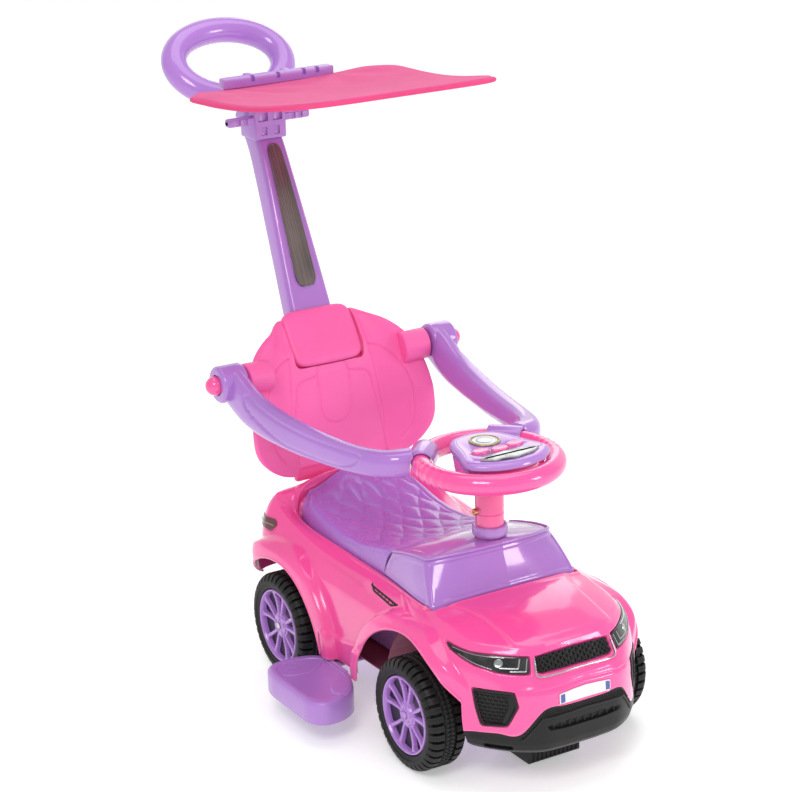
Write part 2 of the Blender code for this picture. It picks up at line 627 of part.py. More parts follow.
for tag, x, y, a, b in (("left", -.0270, -.1235, .0105, .0070), ("middle", 0.0, -.1280, .0110, .0075),
                        ("right", .0270, -.1235, .0105, .0070)):
    ellipse_rod("button_" + tag, x, y, a, b, .4064, .4118, PINK)
    boolean(cover, ellipse_rod("button_well_" + tag, x, y, a + .0005, b + .0005, .4047, .4200, None, CUT))
battery = box("battery_cover", (-.0170, -.1400, .3528), (.0170, -.1215, .3557), PINK)

# ---------------------------------------------------------------- seat lid
SE = [(.1012, .0138, .2046), (.1000, .0450, .2045), (.0990, .0850, .2040), (.0980, .1250, .2040),
      (.0980, .1700, .2042), (.0980, .2150, .2050), (.0975, .2450, .2080), (.0962, .2560, .2112)]
SEAT_Z = [(-.0030, .2490), (.030, .2370), (.060, .2270), (.100, .2200), (.140, .2190), (.180, .2225),
          (.220, .2330), (.255, .2500), (.2830, .2620)]
CREST = [(0, .0400), (.13, .0330), (.32, .0220), (.50, .0190), (.68, .0225), (.84, .0310), (1, .0400)]


def lerp_table(tab, u):
    return float(np.interp(u, [a for a, _ in tab], [b for _, b in tab]))


def seat_grid(nv, nw, e=.0007):
    """Stations from the cowl seam to the rear; each from the side edge to the middle."""
    rows = []
    for i in range(nv + 1):
        s = i / nv
        ye, yc = .0150 + s * (.2540 - .0150), -.0020 + s * (.2815 - -.0020)
        xe = float(np.interp(ye, [p[1] for p in SE], [p[0] for p in SE])) - e
        ze = float(np.interp(ye, [p[1] for p in SE], [p[2] for p in SE]))
        h = lerp_table(CREST, s)
        zc = lerp_table(SEAT_Z, yc)
        if s > .93:
            xe -= 0.0010
        pts = [(xe - .0010, ye, ze - .0085), (xe, ye, ze)]
        for a, hx, hy in ((.02, .45, .12), (.055, .80, .35), (.12, 1.0, .65)):
            x = xe * (1 - a)
            z = ze + h * hx
            y = ye + (yc - ye) * hy
            pts.append((x, y, z))
        top = ze + h
        for k in range(1, nw + 1):
            u = k / nw
            w = u * u * (3 - 2 * u)
            pts.append((xe * .88 * (1 - u), ye + (yc - ye) * (.65 + .35 * u), top * (1 - w) + zc * w))
        pts[-1] = (0.0, yc, zc)
        rows.append(pts)
    # closing row down the rear wall
    last = rows[-1]
    rear = []
    for (x, y, z) in last:
        rear.append([x, y, z])
    return rows


sg = seat_grid(11, 3)
# rear wall: the edge wraps round the back and drops to the ledge
ledge = []
for k, (x, y, z) in enumerate(sg[-1]):
    t = k / (len(sg[-1]) - 1)
    ledge.append((x, y + .0002, z - .0085 if k > 1 else z))
seat = grid_mesh("seat_lid", sg + [ledge], LILAC, flip=True)
solidify(seat, .0024)
smooth(seat)
for sgn in (-1, 1):
    boolean(seat, box("seat_tab_%d" % sgn, (sgn * .05 - .012, -.0120, .2405), (sgn * .05 + .012, .0120, .2440), None, CUT), "UNION")

# ---------------------------------------------------------------- backrest, headrest
WING = [(.0880, .2610), (.1040, .2655), (.1190, .2735), (.1320, .2840), (.1440, .2980), (.1505, .3130),
        (.1525, .3300), (.1520, .3600), (.1490, .3880), (.1420, .4120), (.1320, .4310), (.1180, .4470),
        (.0980, .4610), (.0780, .4690), (.0620, .4750)]


def backrest_grid(nz, nx):
    w = spline(WING, nz)
    rows = []
    for i in range(nz):
        W, z = w[i]
        yc = .2960 + .17 * (z - .252) + .10 * max(z - .40, 0)
        yw = .2710 + .387 * (z - .335)
        dep = max(min((yc - yw), .034), 0.0) * math.sin(math.pi * min(max((z - .250) / .22, 0), 1)) ** .5
        row = []
        for k in range(nx + 1):
            x = W * k / nx
            t = min(max((x - .062) / max(W - .062, .02), 0), 1) if W > .07 else 0
            y = yc - dep * t * t * (3 - 2 * t)
            row.append((x, y, z))
        rows.append(row)
    return rows


back = grid_mesh("backrest", backrest_grid(12, 5), PINK_MATTE)
solidify(back, .0120)
smooth(back, 50)
for sgn in (-1, 1):
    boolean(back, rod("arm_boss_%d" % sgn, (sgn * .1150, ARM_PIVOT[0] + .004, ARM_PIVOT[1] - .002),
                      (sgn * .1530, ARM_PIVOT[0], ARM_PIVOT[1]), .0240, None, CUT, 20), "UNION")
    boolean(back, rod("pin_bore_%d" % sgn, (sgn * .1300, ARM_PIVOT[0], ARM_PIVOT[1]),
                      (sgn * .1700, ARM_PIVOT[0], ARM_PIVOT[1]), .0064, None, CUT, 14))
# neck down to the rear deck and the socket that holds the pole
boolean(back, box("back_foot", (-.0560, .2990, .2470), (.0560, .3090, .2700), None, CUT), "UNION")
sock = [(-.0420, .3160, .3600), (.0420, .3160, .3600)]
socket = sweep("pole_socket", [(0, .3500, .3650), (0, .3580, .4000), (0, .3700, .4300), (0, .3865, .4700)],
               [[(-.026, -.041), (.026, -.041), (.026, .041), (-.026, .041)]] * 4, None, up=(1, 0, 0), coll=CUT)
boolean(back, socket, "UNION")

# push pole: tapered rectangular tube leaning back, up to the handle ring
POLE = [(.3700, .4310, .0345, .0192), (.3865, .4700, .0345, .0200),
        (.4152, .5350, .0315, .0205), (.4447, .6000, .0280, .0212), (.4726, .6600, .0245, .0222),
        (.4970, .7080, .0225, .0220), (.5230, .7400, .0215, .0205), (.5430, .7560, .0215, .0190)]
ppts = [(0, y, z) for y, z, a, b in POLE]


def pole_section(a, b, e=5.0):
    return [(v, u) for u, v in superellipse(a, b, 12, e, math.pi / 12)]


pole = sweep("push_pole", ppts, [pole_section(a, b) for y, z, a, b in POLE], LILAC, up=(1, 0, 0))
solid_room = sweep("pole_room", [(0, y, z) for y, z, a, b in POLE[:3]],
                   [pole_section(a + .0010, b + .0010) for y, z, a, b in POLE[:3]], None, up=(1, 0, 0), coll=CUT)
boolean(back, solid_room)

head = [(.0530, .4165), (.0575, .4230), (.0585, .4500), (.0570, .4780), (.0500, .4875)]
rows = []
for W, z in spline(head, 7):
    yc = .3205 + .70 * (z - .4208)
    rows.append([(W * u, yc + .0030 * u * u, z) for u in (0, .5, .9, 1.0)])
headrest = grid_mesh("headrest_pad", rows, PINK_MATTE)
solidify(headrest, .0140)
smooth(headrest, 50)
# the back panel is cut back where the pad sits on it
rows2 = []
for W, z in ((.0590, .4125), (.0625, .4230), (.0630, .4600), (.0625, .4800), (.0590, .4925)):
    yc = .3205 + .70 * (z - .4208)
    rows2.append([(W * u, yc - .0410, z + .0287) for u in (0, 1.0)])
pad_room = grid_mesh("pad_room", rows2, None, CUT)
solidify(pad_room, .0668)
boolean(back, pad_room)
boolean(headrest, solid_room)

# ---------------------------------------------------------------- handle ring and pole plate
ring2 = []
for k in range(28):
    t = 2 * math.pi * k / 28
    u, v = .0890 * math.cos(t), .0620 * math.sin(t)
    u *= 1 + .05 * math.sin(t)
    ring2.append((u, .6030 + v * math.sin(.785), .8150 + v * math.cos(.785)))
handle = sweep("handle_ring", ring2, [superellipse(.0195, .0195, 10)] * 28, LILAC,
               up=(0, -math.cos(.785), math.sin(.785)), closed=True)
boolean(pole, sweep("ring_room", ring2, [superellipse(.0199, .0199, 10)] * 28, None,
                    up=(0, -math.cos(.785), math.sin(.785)), closed=True, coll=CUT))
def pole_at(z, k):
    return float(np.interp(z, [q[1] for q in POLE], [q[k] for q in POLE]))


pl = []
for z in np.linspace(.5050, .7040, 7):
    off = pole_at(z, 3) + .0008
    w = float(np.interp(z, [.505, .52, .60, .69, .704], [.0085, .0165, .0150, .0115, .0060]))
    pl.append([(0.0, pole_at(z, 0) - .907 * off, z + .42 * off), (w, pole_at(z, 0) - .907 * off, z + .42 * off)])
pplate = grid_mesh("pole_plate", pl, SMOKE)
solidify(pplate, .0016, 1.0)

# ---------------------------------------------------------------- guard arms
ARM = [(.1705, .3140, .4210, .0150, .0280), (.1700, .2900, .4090, .0155, .0295), (.1685, .2560, .3950, .0155, .0285),
       (.1650, .2150, .3860, .0155, .0260), (.1590, .1700, .3810, .0155, .0238), (.1510, .1200, .3780, .0155, .0218),
       (.1430, .0700, .3775, .0155, .0200), (.1345, .0250, .3785, .0155, .0190), (.1225, -.0120, .3810, .0165, .0185),
       (.1070, -.0330, .3830, .0175, .0185), (.0860, -.0420, .3840, .0180, .0190)]
RING_CLEAR = RING_TUBE + .0014
MOUTH = RING_CLEAR + .0004
for sgn in (-1, 1):
    tag = "left" if sgn > 0 else "right"
    pts = [(sgn * a[0], a[1], a[2]) for a in ARM]
    arm = sweep("guard_arm_" + tag, pts, [superellipse(a[3], a[4], 12, 2.6) for a in ARM], LILAC)
    # round eye at the pivot
    boolean(arm, rod("arm_eye_" + tag, (sgn * .1560, *ARM_PIVOT), (sgn * .1880, *ARM_PIVOT), .0270, None, CUT, 20), "UNION")
    # saddle over the steering ring
    a = math.radians(48)
    cx, cyy = RING_R * math.sin(a), COLUMN_Y + RING_R * math.cos(a)
    tx, tyy = math.cos(a), -math.sin(a)
    sad = rod("saddle_" + tag, (sgn * (cx - tx * .024), cyy - tyy * .024, RING_Z),
              (sgn * (cx + tx * .024), cyy + tyy * .024, RING_Z), .0195, None, CUT, 16)
    boolean(arm, sad, "UNION")
    boolean(arm, sweep("ring_way_" + tag, ringpts, [superellipse(RING_CLEAR, RING_CLEAR, 10, 2, math.pi / 10)] * 28, None,
                       closed=True, coll=CUT))
    boolean(arm, sweep("mouth_" + tag, ringpts, [[(-MOUTH, -.045), (MOUTH, -.045), (MOUTH, .0030), (-MOUTH, .0030)]] * 28, None, closed=True, coll=CUT))
    boolean(arm, rod("arm_bore_" + tag, (sgn * .1400, *ARM_PIVOT), (sgn * .2000, *ARM_PIVOT), .0060, None, CUT, 14))
    pin = rod("arm_pin_" + tag, (sgn * .1335, *ARM_PIVOT), (sgn * .2000, *ARM_PIVOT), .0056, PINK, n=14)
    bm = bmesh.new()
    bmesh.ops.create_uvsphere(bm, u_segments=14, v_segments=8, radius=.0140)
    bmesh.ops.translate(bm, verts=bm.verts, vec=(sgn * .1990, *ARM_PIVOT))
    knob = smooth(from_bmesh("knob_" + tag, bm, None, CUT))
    boolean(knob, box("knob_flat_" + tag, (sgn * .1780 - .0105, .25, .36), (sgn * .1780 + .0105, .36, .48), None, CUT))
    boolean(pin, knob, "UNION")

# ---------------------------------------------------------------- front and rear trim
def patch(name, rays, mat, off0=.0019, off1=.0042, inward=False):
    """Thin pad on the body skin: a grid of (origin, direction) rays, cast outward or inward."""
    bm = bmesh.new()
    lo, hi = [], []
    for row in rays:
        a, b = [], []
        for org, d in row:
            hit, nrm, _, _ = SKIN.ray_cast(Vector(org), Vector(d).normalized())
            d = Vector(d).normalized() * (-1 if inward else 1)
            if nrm.dot(d) < 0:
                nrm = -nrm
            nrm = (nrm + d * .6).normalized()
            a.append(bm.verts.new(hit + nrm * off0))
            b.append(bm.verts.new(hit + nrm * off1))
        lo.append(a)
        hi.append(b)
    n, m = len(rays), len(rays[0])
    for i in range(n - 1):
        for j in range(m - 1):
            bm.faces.new((lo[i][j], lo[i + 1][j], lo[i + 1][j + 1], lo[i][j + 1]))
            bm.faces.new((hi[i][j], hi[i][j + 1], hi[i + 1][j + 1], hi[i + 1][j]))
    ring = [(0, j) for j in range(m)] + [(i, m - 1) for i in range(1, n)] + \
           [(n - 1, j) for j in range(m - 2, -1, -1)] + [(i, 0) for i in range(n - 2, 0, -1)]
    for k in range(len(ring)):
        p, q = ring[k], ring[(k + 1) % len(ring)]
        bm.faces.new((lo[p[0]][p[1]], lo[q[0]][q[1]], hi[q[0]][q[1]], hi[p[0]][p[1]]))
    return from_bmesh(name, bm, mat)


def front_rays(xs, z_of):
    """Rays going forward (-Y) at x, with z between two edges."""
    rows = []
    for x in xs:
        z0, z1 = z_of(x)
        rows.append([((x, -.10, z0 + (z1 - z0) * k / 2), (0, -1, 0)) for k in range(3)])
    return rows


def fan_rays(angles, z_of, cx=.060, cyy=-.200):
    """Rays fanned round a vertical line near the front corner; angle from -Y to +X."""
    rows = []
    for a in angles:
        z0, z1 = z_of(a)
        rows.append([((cx, cyy, z0 + (z1 - z0) * k / 2), (math.sin(a), -math.cos(a), 0)) for k in range(3)])
    return rows


def mirrored(rays):
    return [[((-o[0], o[1], o[2]), (-d[0], d[1], d[2])) for o, d in row] for row in rays]


patch("grille_insert", front_rays([.0205 * k for k in range(-3, 4)], lambda x: (.1685, .1905)), BLACK)
# bright U-frame under and beside the grille, in front of the body
patch("grille_frame", front_rays([.0220 * k for k in range(-3, 4)], lambda x: (.1625, .1675)), CHROME, .0019, .0046)
lamp = fan_rays([.09, .22, .35, .48, .61, .74, .87, 1.00, 1.12],
                lambda a: (float(np.interp(a, [.08, .5, .8, 1.12], [.1665, .1675, .1760, .1885])),
                           float(np.interp(a, [.08, .5, .8, 1.12], [.1890, .1885, .1895, .1915]))), cyy=-.150)
patch("headlight_left", lamp, LENS)
patch("headlight_right", mirrored(lamp), LENS)
fog = fan_rays([.42, .53, .64, .75, .86, .97], lambda a: (.0990, .1430 - .0170 * (a - .42)))
patch("fog_insert_left", fog, BLACK)
patch("fog_insert_right", mirrored(fog), BLACK)
patch("plate_panel", front_rays([-.0420, -.0210, 0, .0210, .0420], lambda x: (.1300, .1470)), PLATE)


def vent_rays(s):
    rows = []
    for y in (.0080, -.0055, -.0190, -.0325, -.0460, -.0600):
        t = (.0080 - y) / .068
        lo = .370 - .05 * t
        rows.append([((s * .02, y, .1600), (s, 0, lo + .022 * k)) for k in range(3)])
    return rows


patch("side_vent_left", vent_rays(1), BLACK)
patch("side_vent_right", vent_rays(-1), BLACK)


def tail_rays(s):
    return [[((s * (.105 + .2 * math.sin(a)), .240 + .2 * math.cos(a), .2060 + k * (.0085 - .0045 * (a - .22) / .83)),
              (-s * math.sin(a), -math.cos(a), 0)) for k in (-1, 0, 1)] for a in np.linspace(.22, 1.05, 11)]


patch("tail_light_left", tail_rays(1), REDLENS, .0026, .0050, True)
patch("tail_light_right", tail_rays(-1), REDLENS, .0026, .0050, True)

# ---------------------------------------------------------------- footrests
STEP = [(.1500, .0300), (.1640, -.0040), (.1790, -.0270), (.2020, -.0390), (.2270, -.0390), (.2400, -.0290),
        (.2455, -.0140), (.2455, .0870), (.2390, .1100), (.2240, .1200), (.1900, .1212), (.1680, .1140), (.1500, .1000)]
for sgn in (-1, 1):
    tag = "left" if sgn > 0 else "right"
    pts = [(sgn * x, y) for x, y in STEP]
    st = plate("footrest_" + tag, pts, .0330, .0660, LILAC)
    cx, cyy = .1960, .0420
    inner = [(sgn * (cx + (x - cx) * .925), cyy + (y - cyy) * .95) for x, y in STEP]
    boolean(st, plate("step_hollow_" + tag, inner, .0200, .0630, None, CUT))
    yt = .0505 if sgn > 0 else .0782
    boolean(st, box("tongue_" + tag, (min(sgn * .0200, sgn * .1560), yt - .0110, .0585),
                    (max(sgn * .0200, sgn * .1560), yt + .0110, .0620), None, CUT), "UNION")

# ---------------------------------------------------------------- sun canopy
def canopy_point(u, v):
    """u across from -1 to 1, v from the rear (0) to the front (1)."""
    half_w = .1740
    y0, y1 = .4570, .0720
    x, yy = u * half_w, y0 + (y1 - y0) * v
    z = .8080 + .0490 * v - .0030 * math.sin(math.pi * v)
    return x, yy, z


def canopy_loop(n, scale=1.0):
    out = []
    for k in range(n):
        t = 2 * math.pi * k / n
        c, s = math.cos(t), math.sin(t)
        u = math.copysign(abs(c) ** (2 / 5.0), c) * scale
        w = math.copysign(abs(s) ** (2 / 5.0), s) * scale
        out.append(canopy_point(u, .5 - w / 2))
    return out


bm = bmesh.new()
loops = [[bm.verts.new(p) for p in canopy_loop(28, s)] for s in (1.0, .8, .5)]
mid = bm.verts.new(canopy_point(0, .5))
for a, b in zip(loops, loops[1:]):
    for j in range(28):
        bm.faces.new((a[j], a[(j + 1) % 28], b[(j + 1) % 28], b[j]))
for j in range(28):
    bm.faces.new((loops[-1][j], loops[-1][(j + 1) % 28], mid))
canopy = from_bmesh("canopy_fabric", bm, CANVAS)
solidify(canopy, .0030, 1.0)
smooth(canopy)
wire = [(x, y, z - .0052) for x, y, z in canopy_loop(28, .975)]
sweep("canopy_wire", wire, [superellipse(.0016, .0016, 6)] * 28, STEEL, closed=True)

# crossbar on the fabric's rear edge, hinged on the bracket at the top of the pole
bar = box("canopy_crossbar", (-.0910, .4430, .8135), (.0910, .4600, .8215), LILAC)
PIVOT = (.4880, .7780)
for sgn in (-1, 1):
    boolean(bar, box("bar_cheek_%d" % sgn, (sgn * .0310 - .0035, .4715, .7700), (sgn * .0310 + .0035, .4950, .8211), None, CUT), "UNION")
    boolean(bar, box("bar_link_%d" % sgn, (sgn * .0310 - .0035, .4500, .8139), (sgn * .0310 + .0035, .4900, .8207), None, CUT), "UNION")
boolean(bar, rod("bar_bore", (-.06, *PIVOT), (.06, *PIVOT), .0034, None, CUT, 12))
bracket = box("canopy_bracket", (-.0680, .4800, .7440), (.0680, .4950, .7560), LILAC)
boolean(bracket, box("bracket_block", (-.0265, .4780, .7440), (.0265, .4970, .7860), None, CUT), "UNION")
boolean(bracket, box("bracket_collar", (-.0265, .4780, .7200), (.0265, .5250, .7500), None, CUT), "UNION")
boolean(bracket, rod("bracket_bore", (-.06, *PIVOT), (.06, *PIVOT), .0034, None, CUT, 12))
boolean(bracket, sweep("pole_way", ppts[4:], [pole_section(a + .0004, b + .0004) for y, z, a, b in POLE[4:]],
                       None, up=(1, 0, 0), coll=CUT))
boolean(bracket, pplate)
rod("canopy_pivot_pin", (-.0390, *PIVOT), (.0390, *PIVOT), .0030, STEEL, n=12)

# ---------------------------------------------------------------- joint axes
# one empty on each joint's axis, with the pieces that move on it as its children
AXES = {
    "seat_hinge": ((0, -.0012, .2490), ("seat_lid",)),
    "guard_left_lift": ((0, *ARM_PIVOT), ("guard_arm_left",)),
    "guard_right_lift": ((0, *ARM_PIVOT), ("guard_arm_right",)),
    "steering_turn": ((0, COLUMN_Y, RING_Z), ("steering_ring", "steering_hub", "hub_cover", "hub_dial", "hub_window",
                                             "battery_cover", "steering_column", "column_screw", "steering_shaft")),
    "knuckle_left_turn": ((KINGPIN_X, AXLE_F, HUB_Z), ("knuckle_left",)),
    "knuckle_right_turn": ((-KINGPIN_X, AXLE_F, HUB_Z), ("knuckle_right",)),
    "linkage_turn": ((0, COLUMN_Y + CRANK, .0598), ("tie_rod",)),
    "wheel_front_left_spin": ((TRACK, AXLE_F, HUB_Z), ("tyre_front_left", "rim_front_left")),
    "wheel_front_right_spin": ((-TRACK, AXLE_F, HUB_Z), ("tyre_front_right", "rim_front_right")),
    "wheel_rear_left_spin": ((TRACK, AXLE_R, HUB_Z), ("tyre_rear_left", "rim_rear_left")),
    "wheel_rear_right_spin": ((-TRACK, AXLE_R, HUB_Z), ("tyre_rear_right", "rim_rear_right")),
    "footrest_left_slide": ((.2000, .0505, .0603), ("footrest_left",)),
    "footrest_right_slide": ((-.2000, .0782, .0603), ("footrest_right",)),
    "button_left_press": ((-.0270, -.1235, .4100), ("button_left",)),
    "button_middle_press": ((0, -.1280, .4100), ("button_middle",)),
    "button_right_press": ((.0270, -.1235, .4100), ("button_right",)),
    "canopy_tilt": ((0, *PIVOT), ("canopy_crossbar", "canopy_wire", "canopy_fabric")),
}
for joint, (at, pieces) in AXES.items():
    axis = bpy.data.objects.new("axis_" + joint, None)
    axis.location = at
    axis.parent = datum
    CAR.objects.link(axis)
    for piece in pieces:
        child = bpy.data.objects[piece]
        child.parent = axis
        child.matrix_parent_inverse = Matrix.Translation(-Vector(at))
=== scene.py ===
"""Looks of the ride-on car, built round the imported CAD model.

Points are written in the drawing frame of the car, whose Y is shifted by YS to
the row frame when a mesh is made. The front is at -Y, the right side at -X.
"""
import json
import math

import bmesh
import bpy
import numpy as np
from mathutils import Matrix, Vector
from mathutils.bvhtree import BVHTree

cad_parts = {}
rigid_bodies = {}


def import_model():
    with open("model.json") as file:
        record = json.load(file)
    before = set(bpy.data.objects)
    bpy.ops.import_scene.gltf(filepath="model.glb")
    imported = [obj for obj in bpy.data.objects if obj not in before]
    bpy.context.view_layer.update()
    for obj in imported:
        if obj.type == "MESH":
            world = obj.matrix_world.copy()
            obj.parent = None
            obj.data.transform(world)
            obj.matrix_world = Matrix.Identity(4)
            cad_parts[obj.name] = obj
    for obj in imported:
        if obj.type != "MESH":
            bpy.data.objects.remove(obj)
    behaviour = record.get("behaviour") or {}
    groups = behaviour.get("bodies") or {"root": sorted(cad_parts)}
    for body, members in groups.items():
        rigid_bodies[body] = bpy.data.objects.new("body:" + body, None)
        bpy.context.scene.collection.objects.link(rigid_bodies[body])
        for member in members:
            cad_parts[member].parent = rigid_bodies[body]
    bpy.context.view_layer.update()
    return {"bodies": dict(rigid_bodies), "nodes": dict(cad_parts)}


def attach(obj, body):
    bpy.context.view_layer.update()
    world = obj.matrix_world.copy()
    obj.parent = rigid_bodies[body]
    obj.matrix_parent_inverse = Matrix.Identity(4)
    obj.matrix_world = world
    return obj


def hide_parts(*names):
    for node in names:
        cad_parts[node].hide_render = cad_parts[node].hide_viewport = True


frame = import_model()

YS = -0.1717
SCENE = bpy.context.scene

# ================================================================ camera
CAM = Vector((-1.6075, -2.7520, 1.4715))
fw = Vector((.4842, .8159, -.3161)).normalized()
rt = Vector((.8549, -.5181, -.0277)).normalized()
upv = rt.cross(fw).normalized()
rt = fw.cross(upv).normalized()
cam_data = bpy.data.cameras.new("camera")
cam_data.sensor_width = 36.0
cam_data.lens = 107.567
cam_data.shift_x = -0.0038
cam_data.shift_y = -0.0078
cam_data.clip_start, cam_data.clip_end = 0.05, 50.0
cam = bpy.data.objects.new("camera", cam_data)
SCENE.collection.objects.link(cam)
cam.matrix_world = Matrix.Translation(CAM) @ Matrix((rt, upv, -fw)).transposed().to_4x4()
SCENE.camera = cam
SCENE.view_settings.view_transform = "Standard"


# ================================================================ materials
def nodes_of(name):
    m = bpy.data.materials.new(name)
    m.use_nodes = True
    return m, m.node_tree, m.node_tree.nodes["Principled BSDF"]


def add(nt, kind, **values):
    n = nt.nodes.new(kind)
    for k, v in values.items():
        if k in n.inputs:
            n.inputs[k].default_value = v
        else:
            setattr(n, k, v)
    return n


def noise(nt, coord, scale, detail=3.0, rough=.5):
    n = add(nt, "ShaderNodeTexNoise", Scale=scale, Detail=detail, Roughness=rough)
    nt.links.new(coord, n.inputs["Vector"])
    return n.outputs["Fac"]


def ranged(nt, fac, lo, hi, a=.3, b=.7):
    n = add(nt, "ShaderNodeMapRange")
    n.inputs["From Min"].default_value = a
    n.inputs["From Max"].default_value = b
    n.inputs["To Min"].default_value = lo
    n.inputs["To Max"].default_value = hi
    nt.links.new(fac, n.inputs["Value"])
    return n.outputs["Result"]


def mixed(nt, fac, a, b):
    n = nt.nodes.new("ShaderNodeMix")
    n.data_type = "RGBA"
    if isinstance(fac, (int, float)):
        n.inputs[0].default_value = fac
    else:
        nt.links.new(fac, n.inputs[0])
    for sock, v in ((n.inputs[6], a), (n.inputs[7], b)):
        if isinstance(v, tuple):
            sock.default_value = (*v, 1.0)
        else:
            nt.links.new(v, sock)
    return n.outputs[2]


def bumped(nt, height, strength, distance, normal=None):
    n = add(nt, "ShaderNodeBump", Strength=strength, Distance=distance)
    nt.links.new(height, n.inputs["Height"])
    if normal is not None:
        nt.links.new(normal, n.inputs["Normal"])
    return n.outputs["Normal"]


def shade(c, k):
    return tuple(min(1.0, v * k) for v in c)


def plastic(name, rgb, rough, coat=0.0, coat_rough=.08, peel=.25, peel_scale=70.0, grain=.06, grain_scale=1800.0,
            var=.05, wear=.25, spec=.5, sss=0.0, metal=0.0):
    """Moulded plastic: faint flow marks, orange peel, fine grain, rubbed edges and light scuffs."""
    m, nt, b = nodes_of(name)
    co = nt.nodes.new("ShaderNodeTexCoord").outputs["Object"]
    flow = noise(nt, co, 7.0, 4.0)
    base = mixed(nt, ranged(nt, flow, 0, 1), shade(rgb, 1 - var), shade(rgb, 1 + var))
    geo = nt.nodes.new("ShaderNodeNewGeometry")
    edge = ranged(nt, geo.outputs["Pointiness"], 0.0, wear, .515, .60)
    light = tuple(v * .55 + .45 for v in rgb)
    base = mixed(nt, edge, base, light)
    nt.links.new(base, b.inputs["Base Color"])
    scuff = noise(nt, co, 26.0, 6.0, .65)
    nt.links.new(ranged(nt, scuff, max(rough - .04, .02), rough + .09, .35, .75), b.inputs["Roughness"])
    nrm = bumped(nt, noise(nt, co, peel_scale, 2.0), peel, .0004)
    nrm = bumped(nt, noise(nt, co, grain_scale, 2.0), grain, .0002, nrm)
    nt.links.new(nrm, b.inputs["Normal"])
    b.inputs["Coat Weight"].default_value = coat
    b.inputs["Coat Roughness"].default_value = coat_rough
    b.inputs["Specular IOR Level"].default_value = spec
    b.inputs["Metallic"].default_value = metal
    if sss:
        b.inputs["Subsurface Weight"].default_value = sss
        b.inputs["Subsurface Radius"].default_value = (.9, .35, .45)
        b.inputs["Subsurface Scale"].default_value = .004
    m.diffuse_color = (*rgb, 1.0)
    return m


PINK_RGB = (0.94, 0.088, 0.350)
LILAC_RGB = (0.420, 0.190, 0.610)
PINK = plastic("pink_gloss", PINK_RGB, .16, coat=.6, coat_rough=.05)
# painted shade: the body pink darkened to stand for the shadow inside the wheel arches, worn by the arch liner
PINK_SHADED = plastic("pink_painted_shade", (0.34, .014, .075), .50, peel=.1, grain=.2)
SATIN = plastic("pink_satin", (0.96, 0.138, 0.430), .46, peel=.10, grain=.30, grain_scale=1500.0, wear=.15)
LILAC = plastic("lilac_gloss", LILAC_RGB, .17, coat=.6, coat_rough=.06)
LILAC_SOFT = plastic("lilac_satin", LILAC_RGB, .30, coat=.25, coat_rough=.15, peel=.2)
SEATM = plastic("seat_lilac", (0.400, 0.165, 0.600), .26, coat=.35, coat_rough=.12)
# painted shade: lilac darkened to near black for the shadowed floor of the rim's spoke gaps
LILAC_SHADED = plastic("lilac_painted_shade", (.016, .005, .034), .50)
BLACK = plastic("black_satin", (.009, .009, .010), .38, peel=.2, wear=.03, spec=.30)
BLACK_GLOSS = plastic("black_gloss", (.012, .012, .014), .12, coat=.8, coat_rough=.05, peel=.1, wear=.06)
TYRE = plastic("tyre_black", (.0085, .0080, .0085), .50, peel=.12, grain=.35, grain_scale=1300.0, wear=.04, var=.12, spec=.30)
STEEL = plastic("steel", (.60, .60, .60), .30, metal=1.0, grain=.10, wear=.05)
BRASS = plastic("brass", (.62, .40, .20), .26, metal=1.0, grain=.10, wear=.05)
CHROME = plastic("bright_trim", (.56, .56, .58), .14, metal=1.0, peel=.05, grain=.02, wear=.02)
GOLD = plastic("dial_rim", (.42, .36, .16), .26, metal=.8, wear=.05)
PLATEM = plastic("plate_white", (.80, .80, .82), .30, coat=.4, wear=.05)
PLATE_BLUE = plastic("plate_blue", (.070, .095, .340), .30, coat=.4, wear=.05)
TAIL = plastic("tail_lens", (.13, .018, .026), .10, coat=1.0, coat_rough=.03, wear=.05)
SILVERED = plastic("silvered", (.40, .42, .42), .20, metal=.9, wear=.05)


def smoked():
    """Dark metallic face plate: warm grey, brushed lengthways."""
    m, nt, b = nodes_of("smoke_plate")
    co = nt.nodes.new("ShaderNodeTexCoord").outputs["Object"]
    stretch = nt.nodes.new("ShaderNodeMapping")
    stretch.inputs["Scale"].default_value = (900.0, 6.0, 6.0)
    nt.links.new(co, stretch.inputs["Vector"])
    lines = noise(nt, stretch.outputs["Vector"], 1.0, 3.0)
    cloud = noise(nt, co, 14.0, 3.0)
    base = mixed(nt, ranged(nt, cloud, 0, 1), (.060, .050, .047), (.150, .125, .115))
    base = mixed(nt, ranged(nt, lines, 0, .45), base, (.24, .20, .185))
    nt.links.new(base, b.inputs["Base Color"])
    nt.links.new(ranged(nt, lines, .20, .34), b.inputs["Roughness"])
    nt.links.new(bumped(nt, lines, .1, .0002), b.inputs["Normal"])
    b.inputs["Metallic"].default_value = .55
    b.inputs["Coat Weight"].default_value = .5
    return m


SMOKE = smoked()


def lens(name, dark, pale, scale):
    """Clear-fronted lamp face: clouded silver and black under a hard gloss coat."""
    m, nt, b = nodes_of(name)
    co = nt.nodes.new("ShaderNodeTexCoord").outputs["Object"]
    f = noise(nt, co, scale, 4.0, .6)
    fine = noise(nt, co, 420.0, 2.0)
    base = mixed(nt, ranged(nt, f, 0, 1, .38, .66), dark, pale)
    nt.links.new(base, b.inputs["Base Color"])
    nt.links.new(ranged(nt, fine, .08, .20), b.inputs["Roughness"])
    nt.links.new(bumped(nt, fine, .12, .0003), b.inputs["Normal"])
    b.inputs["Metallic"].default_value = .10
    b.inputs["Coat Weight"].default_value = .35
    b.inputs["Coat Roughness"].default_value = .02
    return m


LAMP = lens("lamp_lens", (.006, .006, .007), (.050, .050, .054), 30.0)
LAMP_CLEAR = lens("lamp_reflector", (.10, .10, .11), (.72, .74, .76), 55.0)
WINDOWM = lens("hub_window", (.09, .10, .10), (.52, .54, .53), 60.0)


